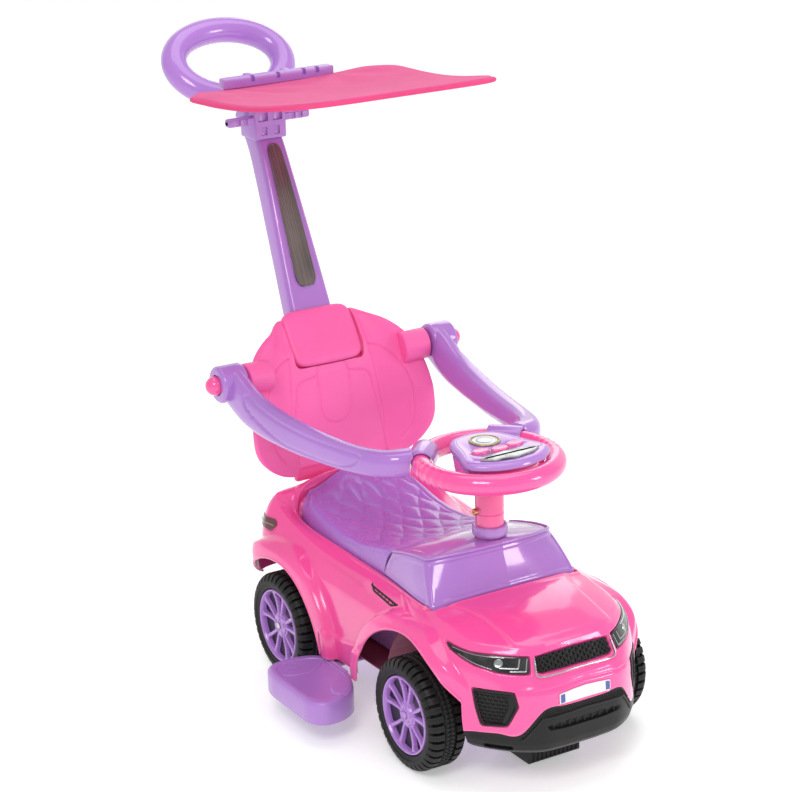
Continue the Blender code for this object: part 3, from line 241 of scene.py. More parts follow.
def canvas():
    """Thin woven cloth: two crossed thread families, slubs, a soft sheen."""
    m, nt, b = nodes_of("pink_canvas")
    co = nt.nodes.new("ShaderNodeTexCoord").outputs["Object"]
    turn = nt.nodes.new("ShaderNodeMapping")
    turn.inputs["Rotation"].default_value = (0, 0, .42)
    nt.links.new(co, turn.inputs["Vector"])
    waves = []
    for axis in ("X", "Y"):
        w = nt.nodes.new("ShaderNodeTexWave")
        w.bands_direction = axis
        w.inputs["Scale"].default_value = 210.0
        w.inputs["Distortion"].default_value = 1.2
        w.inputs["Detail"].default_value = 1.0
        nt.links.new(turn.outputs["Vector"], w.inputs["Vector"])
        waves.append(w.outputs["Fac"])
    weave = nt.nodes.new("ShaderNodeMath")
    weave.operation = "MULTIPLY"
    nt.links.new(waves[0], weave.inputs[0])
    nt.links.new(waves[1], weave.inputs[1])
    slub = noise(nt, co, 60.0, 5.0, .6)
    soft = noise(nt, co, 8.0, 3.0)
    base = mixed(nt, ranged(nt, slub, 0, 1), (.66, .055, .215), (.76, .085, .285))
    base = mixed(nt, ranged(nt, soft, 0, .4), base, (.84, .11, .34))
    base = mixed(nt, ranged(nt, weave.outputs[0], 0, .30, .1, .8), base, (.62, .05, .16))
    nt.links.new(base, b.inputs["Base Color"])
    nt.links.new(ranged(nt, slub, .70, .90), b.inputs["Roughness"])
    nrm = bumped(nt, weave.outputs[0], .35, .0004)
    nt.links.new(bumped(nt, slub, .25, .0006, nrm), b.inputs["Normal"])
    b.inputs["Sheen Weight"].default_value = .12
    b.inputs["Sheen Roughness"].default_value = .5
    b.inputs["Specular IOR Level"].default_value = .25
    return m


CANVAS = canvas()
BINDING = plastic("canvas_binding", (.74, .050, .200), .75, peel=.5, peel_scale=260.0, grain=.6, grain_scale=900.0, spec=.2)


# ================================================================ numbers and curves
def cr(keys, u):
    """Catmull-Rom through rows of numbers, at the parameters u."""
    k = np.asarray(keys, dtype=float)
    flat = k.reshape(len(k), -1)
    u = np.clip(np.asarray(u, dtype=float), 0, len(k) - 1)
    i = np.minimum(u.astype(int), len(k) - 2)
    t = (u - i)[:, None]
    p0, p1, p2, p3 = flat[np.maximum(i - 1, 0)], flat[i], flat[i + 1], flat[np.minimum(i + 2, len(k) - 1)]
    out = .5 * (2 * p1 + (p2 - p0) * t + (2 * p0 - 5 * p1 + 4 * p2 - p3) * t * t + (3 * p1 - p0 - 3 * p2 + p3) * t ** 3)
    return out.reshape((len(u),) + k.shape[1:])


def spline(keys, n):
    return cr(keys, np.linspace(0, len(keys) - 1, n))


def loop_spline(keys, n):
    """Closed Catmull-Rom, n points without repeating the first."""
    k = np.asarray(keys, dtype=float)
    ext = np.concatenate([k[-1:], k, k[:2]])
    return cr(ext, 1 + np.arange(n) * len(k) / n)


def even(pts, n, closed=False):
    """The same polyline at n evenly spaced points."""
    p = np.asarray(pts, dtype=float)
    if closed:
        p = np.concatenate([p, p[:1]])
    d = np.r_[0, np.cumsum(np.linalg.norm(np.diff(p, axis=0), axis=1))]
    u = np.linspace(0, d[-1], n + 1)[:-1] if closed else np.linspace(0, d[-1], n)
    return np.stack([np.interp(u, d, p[:, k]) for k in range(p.shape[1])], 1)


def ss(a, b, x):
    """Smooth step from 0 at a to 1 at b; a may be the larger."""
    t = np.clip((np.asarray(x, float) - a) / (b - a), 0, 1)
    return t * t * (3 - 2 * t)


def unit(v):
    v = np.asarray(v, float)
    return v / np.maximum(np.linalg.norm(v, axis=-1, keepdims=True), 1e-12)


def sdf(poly, x, y):
    """Signed distance from points to a closed polygon, negative inside."""
    p = np.asarray(poly, float)
    q = np.roll(p, -1, axis=0)
    shape = np.shape(x)
    X = np.stack([np.ravel(x), np.ravel(y)], 1)
    best = np.full(len(X), 1e9)
    inside = np.zeros(len(X), bool)
    for a, b in zip(p, q):
        e = b - a
        w = X - a
        t = np.clip((w @ e) / max(e @ e, 1e-18), 0, 1)
        best = np.minimum(best, np.linalg.norm(w - t[:, None] * e, axis=1))
        cond = (a[1] > X[:, 1]) != (b[1] > X[:, 1])
        with np.errstate(divide="ignore", invalid="ignore"):
            xc = a[0] + (X[:, 1] - a[1]) * e[0] / (e[1] if e[1] else 1e-18)
        inside ^= cond & (X[:, 0] < xc)
    return np.where(inside, -best, best).reshape(shape)


def pline(poly, x, y):
    """Distance from points to an open polyline."""
    p = np.asarray(poly, float)
    X = np.stack([np.ravel(x), np.ravel(y)], 1)
    best = np.full(len(X), 1e9)
    for a, b in zip(p[:-1], p[1:]):
        e = b - a
        w = X - a
        t = np.clip((w @ e) / max(e @ e, 1e-18), 0, 1)
        best = np.minimum(best, np.linalg.norm(w - t[:, None] * e, axis=1))
    return best.reshape(np.shape(x))


# ================================================================ meshes
def grid_faces(n, m, cn=False, cm=False, base=0, flip=False):
    i, j = np.meshgrid(np.arange(n if cn else n - 1), np.arange(m if cm else m - 1), indexing="ij")
    i2, j2 = (i + 1) % n, (j + 1) % m
    f = np.stack([i * m + j, i2 * m + j, i2 * m + j2, i * m + j2], -1).reshape(-1, 4) + base
    return (f[:, ::-1] if flip else f).tolist()


def make(name, V, F, mat, weld=1e-6, angle=38, recalc=True):
    V = np.asarray(V, float).reshape(-1, 3) + [0, YS, 0]
    me = bpy.data.meshes.new(name)
    me.from_pydata(V.tolist(), [], F)
    bm = bmesh.new()
    bm.from_mesh(me)
    if weld:
        bmesh.ops.remove_doubles(bm, verts=bm.verts, dist=weld)
        bmesh.ops.dissolve_degenerate(bm, edges=bm.edges, dist=weld)
    if recalc:
        bmesh.ops.recalc_face_normals(bm, faces=bm.faces)
    bm.to_mesh(me)
    bm.free()
    ob = bpy.data.objects.new(name, me)
    SCENE.collection.objects.link(ob)
    me.materials.append(mat)
    me.shade_smooth()
    me.set_sharp_from_angle(angle=math.radians(angle))
    return ob


def bake(ob, angle=38):
    dg = bpy.context.evaluated_depsgraph_get()
    me = bpy.data.meshes.new_from_object(ob.evaluated_get(dg), depsgraph=dg)
    old = ob.data
    mats = [m for m in old.materials]
    ob.modifiers.clear()
    ob.data = me
    bpy.data.meshes.remove(old)
    me.materials.clear()
    for m in mats:
        me.materials.append(m)
    me.polygons.foreach_set("material_index", [0] * len(me.polygons))
    me.shade_smooth()
    me.set_sharp_from_angle(angle=math.radians(angle))
    return ob


def thick(ob, t, offset=-1.0, angle=38):
    m = ob.modifiers.new("Wall", "SOLIDIFY")
    m.thickness = t
    m.offset = offset
    m.use_even_offset = False
    return bake(ob, angle)


def bevel(ob, w, seg=3, limit=35, angle=30):
    m = ob.modifiers.new("Round", "BEVEL")
    m.width = w
    m.segments = seg
    m.limit_method = "ANGLE"
    m.angle_limit = math.radians(limit)
    m.use_clamp_overlap = True
    return bake(ob, angle)


def joined(name, obs, mat=None):
    """Several objects as one mesh."""
    bm = bmesh.new()
    for o in obs:
        bm.from_mesh(o.data)
    me = bpy.data.meshes.new(name)
    bm.to_mesh(me)
    bm.free()
    out = bpy.data.objects.new(name, me)
    SCENE.collection.objects.link(out)
    me.materials.append(mat or obs[0].data.materials[0])
    for p in me.polygons:
        p.material_index = 0
    me.shade_smooth()
    me.set_sharp_from_angle(angle=math.radians(38))
    for o in obs:
        old = o.data
        bpy.data.objects.remove(o, do_unlink=True)
        bpy.data.meshes.remove(old)
    return out


def drop(ob):
    old = ob.data
    bpy.data.objects.remove(ob, do_unlink=True)
    bpy.data.meshes.remove(old)


def boolean(ob, cutters, how="DIFFERENCE", angle=38, keep=False):
    cutter = cutters if not isinstance(cutters, (list, tuple)) else joined("cutter", list(cutters))
    m = ob.modifiers.new("Cut", "BOOLEAN")
    m.operation = how
    m.solver = "EXACT"
    m.object = cutter
    bake(ob, angle)
    if not keep:
        drop(cutter)
    return ob


def sheet(name, P, mat, mirror=True, flip=False, angle=38, cn=False, cm=False):
    """Open surface from a grid of points P (n, m, 3), mirrored at x = 0 if asked."""
    P = np.asarray(P, float)
    n, m = P.shape[:2]
    V, F = P.reshape(-1, 3), grid_faces(n, m, cn, cm, flip=flip)
    if mirror:
        V2 = V * [-1, 1, 1]
        F2 = grid_faces(n, m, cn, cm, base=len(V), flip=not flip)
        V, F = np.concatenate([V, V2]), F + F2
    return make(name, V, F, mat, weld=2e-5, recalc=False, angle=angle)


def closed_pad(name, top, bottom, mat, angle=38):
    """Closed solid between two grids of points of the same size."""
    top, bottom = np.asarray(top, float), np.asarray(bottom, float)
    n, m = top.shape[:2]
    V = np.concatenate([top.reshape(-1, 3), bottom.reshape(-1, 3)])
    F = grid_faces(n, m) + grid_faces(n, m, base=n * m, flip=True)
    rim = [j for j in range(m)] + [i * m + m - 1 for i in range(1, n)] + \
          [(n - 1) * m + j for j in range(m - 2, -1, -1)] + [i * m for i in range(n - 2, 0, -1)]
    k = n * m
    for a, b in zip(rim, rim[1:] + rim[:1]):
        F.append([a, a + k, b + k, b])
    return make(name, V, F, mat, angle=angle)


def circle(r, n, phase=0.0, ry=None):
    t = np.arange(n) * 2 * math.pi / n + phase
    return np.stack([r * np.cos(t), (r if ry is None else ry) * np.sin(t)], 1)


def superellipse(a, b, n, e=2.0, phase=0.0):
    t = np.arange(n) * 2 * math.pi / n + phase
    c, s = np.cos(t), np.sin(t)
    return np.stack([a * np.sign(c) * np.abs(c) ** (2 / e), b * np.sign(s) * np.abs(s) ** (2 / e)], 1)


def frames(P, closed=False, up=None):
    """Tangent, side and up along a path; parallel transport where no up is given."""
    P = np.asarray(P, float)
    if closed:
        T = np.roll(P, -1, 0) - np.roll(P, 1, 0)
    else:
        T = np.gradient(P, axis=0)
    T = unit(T)
    if up is not None:
        U0 = np.broadcast_to(np.asarray(up, float), P.shape)
        S = unit(np.cross(T, U0))
        return T, S, np.cross(S, T)
    s = np.cross(T[0], [0, 0, 1.0])
    if np.linalg.norm(s) < .1:
        s = np.cross(T[0], [1.0, 0, 0])
    S = [unit(s)]
    for t in T[1:]:
        v = S[-1] - t * np.dot(S[-1], t)
        S.append(unit(v))
    S = np.array(S)
    return T, S, np.cross(S, T)


def sweep(name, P, sec, mat, up=None, closed=False, caps=True, angle=38):
    """Loft of closed sections (side, up) along a path; sec is (m, 2) or (n, m, 2)."""
    P = np.asarray(P, float)
    sec = np.asarray(sec, float)
    if sec.ndim == 2:
        sec = np.broadcast_to(sec, (len(P),) + sec.shape)
    T, S, U = frames(P, closed, up)
    V = P[:, None] + S[:, None] * sec[..., :1] + U[:, None] * sec[..., 1:]
    n, m = V.shape[:2]
    F = grid_faces(n, m, cn=closed, cm=True)
    if caps and not closed:
        F += [list(range(m)), [(n - 1) * m + j for j in range(m)][::-1]]
    return make(name, V, F, mat, angle=angle)


def tube(name, P, r, mat, k=10, closed=False, up=None, squash=1.0):
    return sweep(name, P, circle(r, k, 0, r * squash), mat, up, closed)


def rod(name, a, b, profile, mat, k=40, angle=30):
    """Turned solid from a to b; profile is [(distance from a, radius), ...] with r=0 ends allowed."""
    a, b = np.asarray(a, float), np.asarray(b, float)
    ax = unit(b - a)
    s = unit(np.cross(ax, [0, 0, 1.0] if abs(ax[2]) < .9 else [1.0, 0, 0]))
    u = np.cross(s, ax)
    t = np.arange(k) * 2 * math.pi / k
    ring = np.cos(t)[:, None] * s + np.sin(t)[:, None] * u
    V = np.array([[a + ax * d + ring[j] * r for j in range(k)] for d, r in profile])
    n = len(profile)
    F = grid_faces(n, k, cm=True) + [list(range(k)), [(n - 1) * k + j for j in range(k)][::-1]]
    return make(name, V, F, mat, angle=angle)


def round_ends(r, length, e=.001, lo=True, hi=True, seg=4):
    """Cylinder profile with rounded rims."""
    out = []
    if lo:
        out += [(e * (1 - math.cos(q)), r - e * (1 - math.sin(q))) for q in np.linspace(0, math.pi / 2, seg)]
    else:
        out.append((0, r))
    if hi:
        out += [(length - e * (1 - math.cos(q)), r - e * (1 - math.sin(q))) for q in np.linspace(math.pi / 2, 0, seg)]
    else:
        out.append((length, r))
    return out


def inset(pts, d):
    """Closed outline moved inward by d (outward if negative)."""
    p = np.asarray(pts, float)
    e = np.roll(p, -1, 0) - p
    n = unit(np.stack([-e[:, 1], e[:, 0]], 1))
    area = .5 * np.sum(p[:, 0] * np.roll(p[:, 1], -1) - np.roll(p[:, 0], -1) * p[:, 1])
    if area < 0:
        n = -n
    a = np.roll(n, 1, 0)
    v = unit(n + a)
    k = 1 / np.maximum((v * n).sum(1), .5)
    return p + v * (d * k)[:, None]


def stack(name, outline, levels, mat, angle=38):
    """Closed solid of inset copies of an XY outline; levels are (z, inset)."""
    V, F = [], []
    m = len(outline)
    for z, d in levels:
        q = inset(outline, d)
        V.append(np.column_stack([q, np.full(m, z)]))
    n = len(levels)
    F = grid_faces(n, m, cm=True) + [list(range(m))[::-1], [(n - 1) * m + j for j in range(m)]]
    return make(name, np.array(V), F, mat, angle=angle)


def rbox(name, lo, hi, r, mat, seg=3):
    lo, hi = np.asarray(lo, float), np.asarray(hi, float)
    c = np.array([[x, y, z] for x in (0, 1) for y in (0, 1) for z in (0, 1)], float) * (hi - lo) + lo
    F = [[0, 1, 3, 2], [4, 6, 7, 5], [0, 4, 5, 1], [2, 3, 7, 6], [0, 2, 6, 4], [1, 5, 7, 3]]
    return bevel(make(name, c, F, mat), r, seg) if r else make(name, c, F, mat)


PLACED = []


def put(ob, body, replaces=()):
    """Ride on a CAD body and stand for CAD nodes."""
    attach(ob, body)
    if replaces:
        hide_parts(*((replaces,) if isinstance(replaces, str) else replaces))
    PLACED.append(ob)
    return ob


# ================================================================ car body
TYRE_R, RIM_R, TRACK, AXLE_F, AXLE_R, HUB_Z = .0775, .0540, .146, -.1477, .2013, .0775
ARCH_F, ARCH_R, ARCH_FRONT_LIMIT = (-.131, .058, .126), (.212, .061, .112), -.2385
COLUMN_Y, COLUMN_R, RING_Z, RING_R, RING_TUBE = -.100, .0195, .384, .0898, .0142
ARM_PIVOT = (.306, .419)

OUTLINE = [(0, -.3200), (.030, -.3196), (.060, -.3155), (.088, -.2990), (.110, -.2765),
           (.1275, -.2510), (.1400, -.2225), (.1475, -.1900), (.1505, -.1500), (.1505, -.1050),
           (.1485, -.0600), (.1465, -.0100), (.1460, .0400), (.1460, .0900), (.1475, .1300),
           (.1490, .1700), (.1510, .2150), (.1510, .2580), (.1465, .2860), (.1310, .3060),
           (.0950, .3170), (.0480, .3205), (0, .3215)]
SEAM = [(0, -.1500, .2186), (.022, -.1495, .2184), (.045, -.1480, .2176), (.068, -.1450, .2160),
        (.090, -.1410, .2138), (.106, -.1375, .2115), (.1174, -.1340, .2090), (.1165, -.1100, .2085),
        (.1140, -.0850, .2080), (.1100, -.0550, .2070), (.1060, -.0250, .2060), (.1020, .0100, .2050),
        (.1000, .0450, .2045), (.0990, .0850, .2040), (.0980, .1250, .2040), (.0980, .1700, .2042),
        (.0980, .2150, .2050), (.0975, .2450, .2080), (.0955, .2620, .2140), (.0930, .2690, .2290),
        (.0820, .2735, .2470), (.0480, .2790, .2590), (0, .2830, .2620)]
FRONT_P = [(.1240, .0000), (.1440, .0015), (.1560, .0085), (.1640, .0150), (.1880, .0265), (.1960, .0310)]
SIDE_P = [(.0685, .0030), (.1000, .0005), (.1400, .0000), (.1700, .0030), (.1870, .0110), (.1980, .0220)]
REAR_P = [(.1220, .0050), (.1500, .0010), (.1800, .0000), (.2080, .0040), (.2300, .0120), (.2450, .0240)]
W_FRONT = [1, 1, 1, .80, .50, .22, .05] + [0] * 16
W_REAR = [0] * 14 + [.05, .15, .35, .60, .85, 1, 1, 1, 1]
BOTTOM = [.1236, .1236, .1226, .0880, .0870, .0840, .0810, .0790, .0780, .0720, .0690, .0685, .0685,
          .0685, .0690, .0720, .0800, .0950, .1150, .1220, .1220, .1220, .1220]
NU = 541


def arch_gap(y, z):
    """Distance outside the nearer wheel arch, front and rear."""
    out = []
    for cy, cz, r in (ARCH_F, ARCH_R):
        out.append(np.hypot(y - cy, np.maximum(z, cz * .6) - cz) - r)
    return out


def flare(y, z):
    df, dr = arch_gap(y, z)
    out = np.zeros_like(y)
    for d, d1 in ((df, np.where(y > -.10, .0235, .0185)), (dr, .0290)):
        t = .84 * ss(0, 1, (d1 - d) / .0058) + .16 * ss(0, 1, (d1 + .003 - d) / .022)
        t = t * ss(0, 1, (y + .252) / .040) * ss(0, 1, (.2085 - z) / .024)
        out = np.maximum(out, .0162 * t)
    return out


def body_field(nu, pockets=True):
    """The outer skin as a grid of points (nu, rows, 3), bottom edge to the ledge under the seam."""
    u = np.linspace(0, len(OUTLINE) - 1, nu)
    o, s = cr(OUTLINE, u), cr(SEAM, u)
    wf = cr([[v] for v in W_FRONT], u)[:, 0].clip(0, 1)
    wr = cr([[v] for v in W_REAR], u)[:, 0].clip(0, 1)
    zb = cr([[v] for v in BOTTOM], u)[:, 0]
    t = np.gradient(o, axis=0)
    t[0], t[-1] = (1, 0), (-1, 0)
    t = unit(t)
    nr = np.stack([t[:, 1], -t[:, 0]], 1)
    kk = np.r_[0, .12, np.linspace(.25, 5, 104)]
    ws = 1 - wf - wr
    K = np.array([[[f[0], f[1]]] for f in FRONT_P]) * wf[None, :, None] + \
        np.array([[[f[0], f[1]]] for f in SIDE_P]) * ws[None, :, None] + \
        np.array([[[f[0], f[1]]] for f in REAR_P]) * wr[None, :, None]
    K[0, :, 0] = zb
    prof = cr(K, kk)                                   # rows, nu, (z, d)
    z = np.maximum.accumulate(prof[..., 0], axis=0)
    d = prof[..., 1]
    xy = o[None] - nr[None] * d[..., None]
    side = np.abs(nr[:, 0])[None] ** np.where(xy[..., 1] < 0, 2.0, .7)
    h = flare(xy[..., 1], z) * side
    for _ in range(2):
        hp = np.pad(h, 1, mode="edge")
        h = .5 * h + .125 * (hp[2:, 1:-1] + hp[:-2, 1:-1] + hp[1:-1, 2:] + hp[1:-1, :-2])
    # moulded character lines: sill crease, shoulder line running back from the vent
    y = xy[..., 1]
    sill = np.interp(y, [-.0117, .0679, .0909], [.1177, .1033, .1094])
    inb = ss(-.035, -.005, y) * ss(.100, .085, y)
    h = h + .0030 * ss(.0035, -.0035, z - sill) * inb
    sh = np.interp(y, [-.08, .024, .078, .128, .27], [.190, .1917, .1929, .1944, .199])
    inr = ss(-.010, .030, y) * ss(.285, .262, y)
    h = h - .0022 * ss(-.002, .0025, z - sh) * inr
    xy = xy + nr[None] * h[..., None]
    # crease groove under the grille
    gz = np.interp(np.abs(xy[..., 0]), [0, .063, .075], [.1507, .1475, .1465])
    g = np.exp(-((z - gz) / .0016) ** 2) * ss(.078, .066, np.abs(xy[..., 0])) * (y < -.2)
    xy = xy - nr[None] * (g * .0016)[..., None]
    wall = np.concatenate([xy, z[..., None]], -1).transpose(1, 0, 2)
    # bonnet and deck rows, from the lip to the seam
    nb = 26
    uu = np.linspace(0, 1, nb + 1)[1:]
    lip = wall[:, -1]
    length = np.linalg.norm(s - lip, axis=1)
    deck = lip[:, None] * (1 - uu)[None, :, None] + s[:, None] * uu[None, :, None]
    bul = 4 * uu * (1 - uu)
    deck[..., 2] += .0045 * bul[None] * wf[:, None] + .0020 * bul[None]
    ax, ay = np.abs(deck[..., 0]), deck[..., 1]
    crease = np.interp(ay, [-.27, -.246, -.223, -.195, -.169, -.142], [.0755, .0755, .076, .0775, .083, .0945])
    raised = ss(.0035, -.0035, ax - crease) * ss(-.286, -.272, ay) * ss(-.138, -.150, ay)
    deck[..., 2] += .0024 * raised * (ay < -.13)
    gap = (1 - uu)[None] * length[:, None]
    bead = ss(.0105, .0070, gap) * (1 - (1 - ss(0, .0040, gap)) ** 2 * .9)
    deck[..., 2] += .0016 * bead
    # corner at the seam and the ledge under it
    c = np.stack([np.zeros(nu), np.clip(s[:, 1], -.1, .2)], 1)
    inw = -unit(s[:, :2] - c)
    ahead = ss(-.122, -.137, s[:, 1])[:, None]
    inw = unit(inw * (1 - ahead) + np.array([0, 1.0]) * ahead)
    inw[0], inw[-1] = (0, 1), (0, -1)
    inw3 = np.concatenate([inw, np.zeros((nu, 1))], 1)
    dropv = .0110 + .0050 * wr
    low = []
    for dep in (.0016, .0034, .0060):
        low.append(s - np.array([0, 0, 1.0]) * dep)
    low.append(s - np.array([0, 0, 1.0]) * dropv[:, None])
    end = low[-1] + inw3 * .012
    end[:, 0] = np.maximum(end[:, 0], 0)
    low.append(low[-1] + inw3 * .004)
    low[-1][:, 0] = np.maximum(low[-1][:, 0], 0)
    low.append(end)
    deck[:, -1, 2] -= .0006
    P = np.concatenate([wall, deck, np.stack(low, 1)], 1)
    P[0, :, 0] = 0
    P[-1, :, 0] = 0
    return P, wall.shape[1]


BODY, WALL_ROWS = body_field(NU)
S_ARR = np.r_[0, np.cumsum(np.linalg.norm(np.diff(cr(OUTLINE, np.linspace(0, 22, NU)), axis=0), axis=1))]


def skin(s, z):
    """Points of the outer wall at outline length s (signed) and height z."""
    s, z = np.broadcast_arrays(np.asarray(s, float), np.asarray(z, float))
    out = np.zeros(s.shape + (3,))
    fs, fz, fo = np.abs(s).ravel(), z.ravel(), out.reshape(-1, 3)
    fi = np.interp(fs, S_ARR, np.arange(NU))
    for n in range(len(fs)):
        i = min(int(fi[n]), NU - 2)
        t = fi[n] - i
        p = []
        for c in (BODY[i], BODY[i + 1]):
            zz = c[:WALL_ROWS + 3, 2]
            p.append((np.interp(fz[n], zz, c[:WALL_ROWS + 3, 0]), np.interp(fz[n], zz, c[:WALL_ROWS + 3, 1])))
        fo[n] = (p[0][0] * (1 - t) + p[1][0] * t, p[0][1] * (1 - t) + p[1][1] * t, fz[n])
    out[..., 0] *= np.sign(np.where(s == 0, 1, s))
    return out


def skin_n(s, z, h=.0022):
    a = skin(s + h, z) - skin(s - h, z)
    b = skin(s, z + h) - skin(s, z - h)
    return unit(np.cross(a, b))


def on_skin(s, z, off):
    s, z = np.broadcast_arrays(np.asarray(s, float), np.asarray(z, float))
    return skin(s, z) + skin_n(s, z) * np.asarray(off, float)[..., None]


def badge(name, loop, levels, mat, body="car", rings=7, angle=38, side=1):
    """Closed pad on the wall: an (s, z) outline stepped through (inset, offset), filled to its middle."""
    loop = even(loop, 96, closed=True)
    c = loop.mean(0)
    top, bot = [], []
    for ins, off in levels:
        top.append(on_skin(*inset(loop, ins).T, np.full(len(loop), off)))
    last = inset(loop, levels[-1][0])
    for k in range(1, rings):
        q = c + (last - c) * (1 - k / rings)
        top.append(on_skin(*q.T, np.full(len(loop), levels[-1][1])))
    mid = on_skin(np.array([c[0]]), np.array([c[1]]), np.array([levels[-1][1]]))[0]
    first = levels[0]
    for k in range(1, rings):
        q = c + (inset(loop, first[0]) - c) * (1 - k / rings)
        bot.append(on_skin(*q.T, np.full(len(loop), first[1])))
    midb = on_skin(np.array([c[0]]), np.array([c[1]]), np.array([first[1]]))[0]
    rows = bot[::-1] + top
    m = len(loop)
    V = np.concatenate([np.array(rows).reshape(-1, 3), [midb, mid]])
    F = grid_faces(len(rows), m, cm=True)
    n = len(rows)
    F += [[(j + 1) % m, j, n * m] for j in range(m)]
    F += [[(n - 1) * m + j, (n - 1) * m + (j + 1) % m, n * m + 1] for j in range(m)]
    V = V * [side, 1, 1]
    return make(name, V, F, mat, angle=angle)


LAMP_TOP = [(.0800, .1868), (.0958, .1874), (.1098, .1878), (.1305, .1887), (.1527, .1892), (.1697, .1889),
            (.1817, .1898), (.1994, .1912), (.2162, .1927)]
LAMP_BOT = [(.2030, .1868), (.1888, .1835), (.1714, .1787), (.1578, .1750), (.1407, .1725), (.1288, .1694),
            (.1115, .1679), (.0905, .1668), (.0790, .1668)]
LAMP_LOOP = np.array(LAMP_TOP + LAMP_BOT)
FOG_LOOP = np.array([(.1578, .1448), (.1010, .1441), (.0958, .1264), (.1098, .0993), (.1458, .0958), (.1527, .1188)])
GRILLE_LOOP = np.array([(-.0695, .1862), (-.035, .1885), (0, .1892), (.035, .1885), (.0695, .1862), (.0675, .1690),
                        (.060, .1668), (0, .1676), (-.060, .1668), (-.0675, .1690)])
PLATE_LOOP = np.array([(-.0400, .1262), (-.0400, .1405), (-.020, .1428), (0, .1438), (.020, .1428), (.0400, .1405),
                       (.0400, .1262), (0, .1268)])


def rounded(loop, n, r):
    """Outline with its corners rounded by radius r."""
    p = np.asarray(loop, float)
    out = []
    m = len(p)
    for i in range(m):
        a, b, c = p[i - 1], p[i], p[(i + 1) % m]
        la, lc = np.linalg.norm(a - b), np.linalg.norm(c - b)
        k = min(r, la * .45, lc * .45)
        s, e = b + (a - b) / la * k, b + (c - b) / lc * k
        for t in np.linspace(0, 1, 6):
            out.append((1 - t) ** 2 * s + 2 * t * (1 - t) * b + t * t * e)
    return even(np.array(out), n, closed=True)


def with_pockets(P):
    """Shallow recesses of the wall under the trim."""
    P = P.copy()
    n, rows = P.shape[0], WALL_ROWS + 4
    s = np.repeat(S_ARR[:, None], rows, 1)
    z = P[:, :rows, 2]
    hit = (s < .24) & (z > .09)
    nr = np.zeros((n, rows, 3))
    nr[hit] = skin_n(s[hit], z[hit])
    dep = np.zeros((n, rows))
    for loop, dd, w in ((LAMP_LOOP, .0032, .0022), (GRILLE_LOOP, .0060, .0024), (FOG_LOOP, .0045, .0024),
                        (PLATE_LOOP, .0016, .0018)):
        q = sdf(loop, s, z)
        dep = np.maximum(dep, dd * ss(w, -w * .3, q))
    P[:, :rows] -= nr * dep[..., None]
    P[0, :, 0] = 0
    return P


def arch_cutter(name, cy, cz, r, x0, x1, n=96):
    pts = [(max(cy + r * math.cos(math.pi * k / n), ARCH_FRONT_LIMIT), cz + r * math.sin(math.pi * k / n))
           for k in range(n + 1)]
    pts += [(pts[-1][0], -.02), (cy + r, -.02)]
    p = np.array(pts)
    m = len(p)
    V = np.concatenate([np.column_stack([np.full(m, x), p]) for x in (x0, x1)])
    F = [[j, (j + 1) % m, m + (j + 1) % m, m + j] for j in range(m)] + [list(range(m)), list(range(m, 2 * m))]
    return make(name, V, F, BLACK)


def arch_cutters(grow=0.0, x=.108, fronts=True, rears=True):
    out = []
    for cy, cz, r in ((ARCH_F,) if fronts else ()) + ((ARCH_R,) if rears else ()):
        for sgn in (-1, 1):
            out.append(arch_cutter("cut", cy, cz, r + grow, *sorted((sgn * x, sgn * .200))))
    return out


shell = sheet("shell", with_pockets(BODY), PINK)
shell = thick(shell, .0025)
shell = boolean(shell, arch_cutters(0, .120))

# rolled lips along the wheel arches, fused to the look of the shell
lips = []
for (cy, cz, r), a0, a1 in ((ARCH_F, 0.02, math.pi - .02), (ARCH_R, .02, math.pi - .02)):
    q = np.linspace(a0, a1, 160)
    yy, zz = cy + r * np.cos(q), cz + r * np.sin(q)
    ok = (yy > ARCH_FRONT_LIMIT + .0005)
    path = []
    zb_at = lambda y: float(np.interp(y, np.array(OUTLINE)[3:19, 1], BOTTOM[3:19]))
    for y, z in zip(yy[ok], zz[ok]):
        if z < zb_at(y) + .001:
            continue
        s = float(np.interp(y, cr(OUTLINE, np.linspace(0, 22, NU))[NU // 9:NU - NU // 9, 1], S_ARR[NU // 9:NU - NU // 9]))
        for _ in range(4):
            p = skin(np.array([s]), np.array([z]))[0]
            s += (y - p[1])
        path.append(skin(np.array([s]), np.array([z]))[0])
    P = even(np.array(path), 120)
    c3 = np.array([0, cy, cz])
    rad = P - c3
    rad[:, 0] = 0
    rad = unit(rad)
    P = P + rad * .0010 + [-.0013, 0, 0]
    for sx in (1, -1):
        lips.append(tube("lip", P * [sx, 1, 1], .0021, PINK, 12))
shell = joined("shell_body", [shell] + lips, PINK)
put(shell, "car", "body_shell")

# ---------------------------------------------------------------- bumper
nb = 120
ub = np.linspace(0, 7.15, nb)
ob_, zt = cr(OUTLINE, ub), None
tb = np.gradient(ob_, axis=0)
tb[0] = (1, 0)
tb = unit(tb)
nb_ = np.stack([tb[:, 1], -tb[:, 0]], 1)
fi = ub / 22 * (NU - 1)
top_row = np.stack([np.interp(fi, np.arange(NU), BODY[:, 0, k]) for k in range(3)], 1)
SB = np.interp(fi, np.arange(NU), S_ARR)
rows = []
ztop = top_row[:, 2] - .0008
zk = np.linspace(0, 1, 44)
for i in range(nb):
    z = .0580 + (ztop[i] - .0580) * zk
    base_d = np.interp(z, [.0580, .0650, .0735, .0900], [.0100, .0035, .0008, .0000])
    dtop = np.dot(ob_[i] - top_row[i, :2], nb_[i])
    d = base_d * ss(1, .6, zk) + dtop * ss(.6, 1, zk)
    d = np.where(z < .0610, d + .0012 * ss(.0610, .0585, z), d)
    xy = ob_[i][None] - nb_[i][None] * d[:, None]
    rows.append(np.column_stack([xy, z]))
BUMP = np.array(rows)
BUMP[0, :, 0] = 0


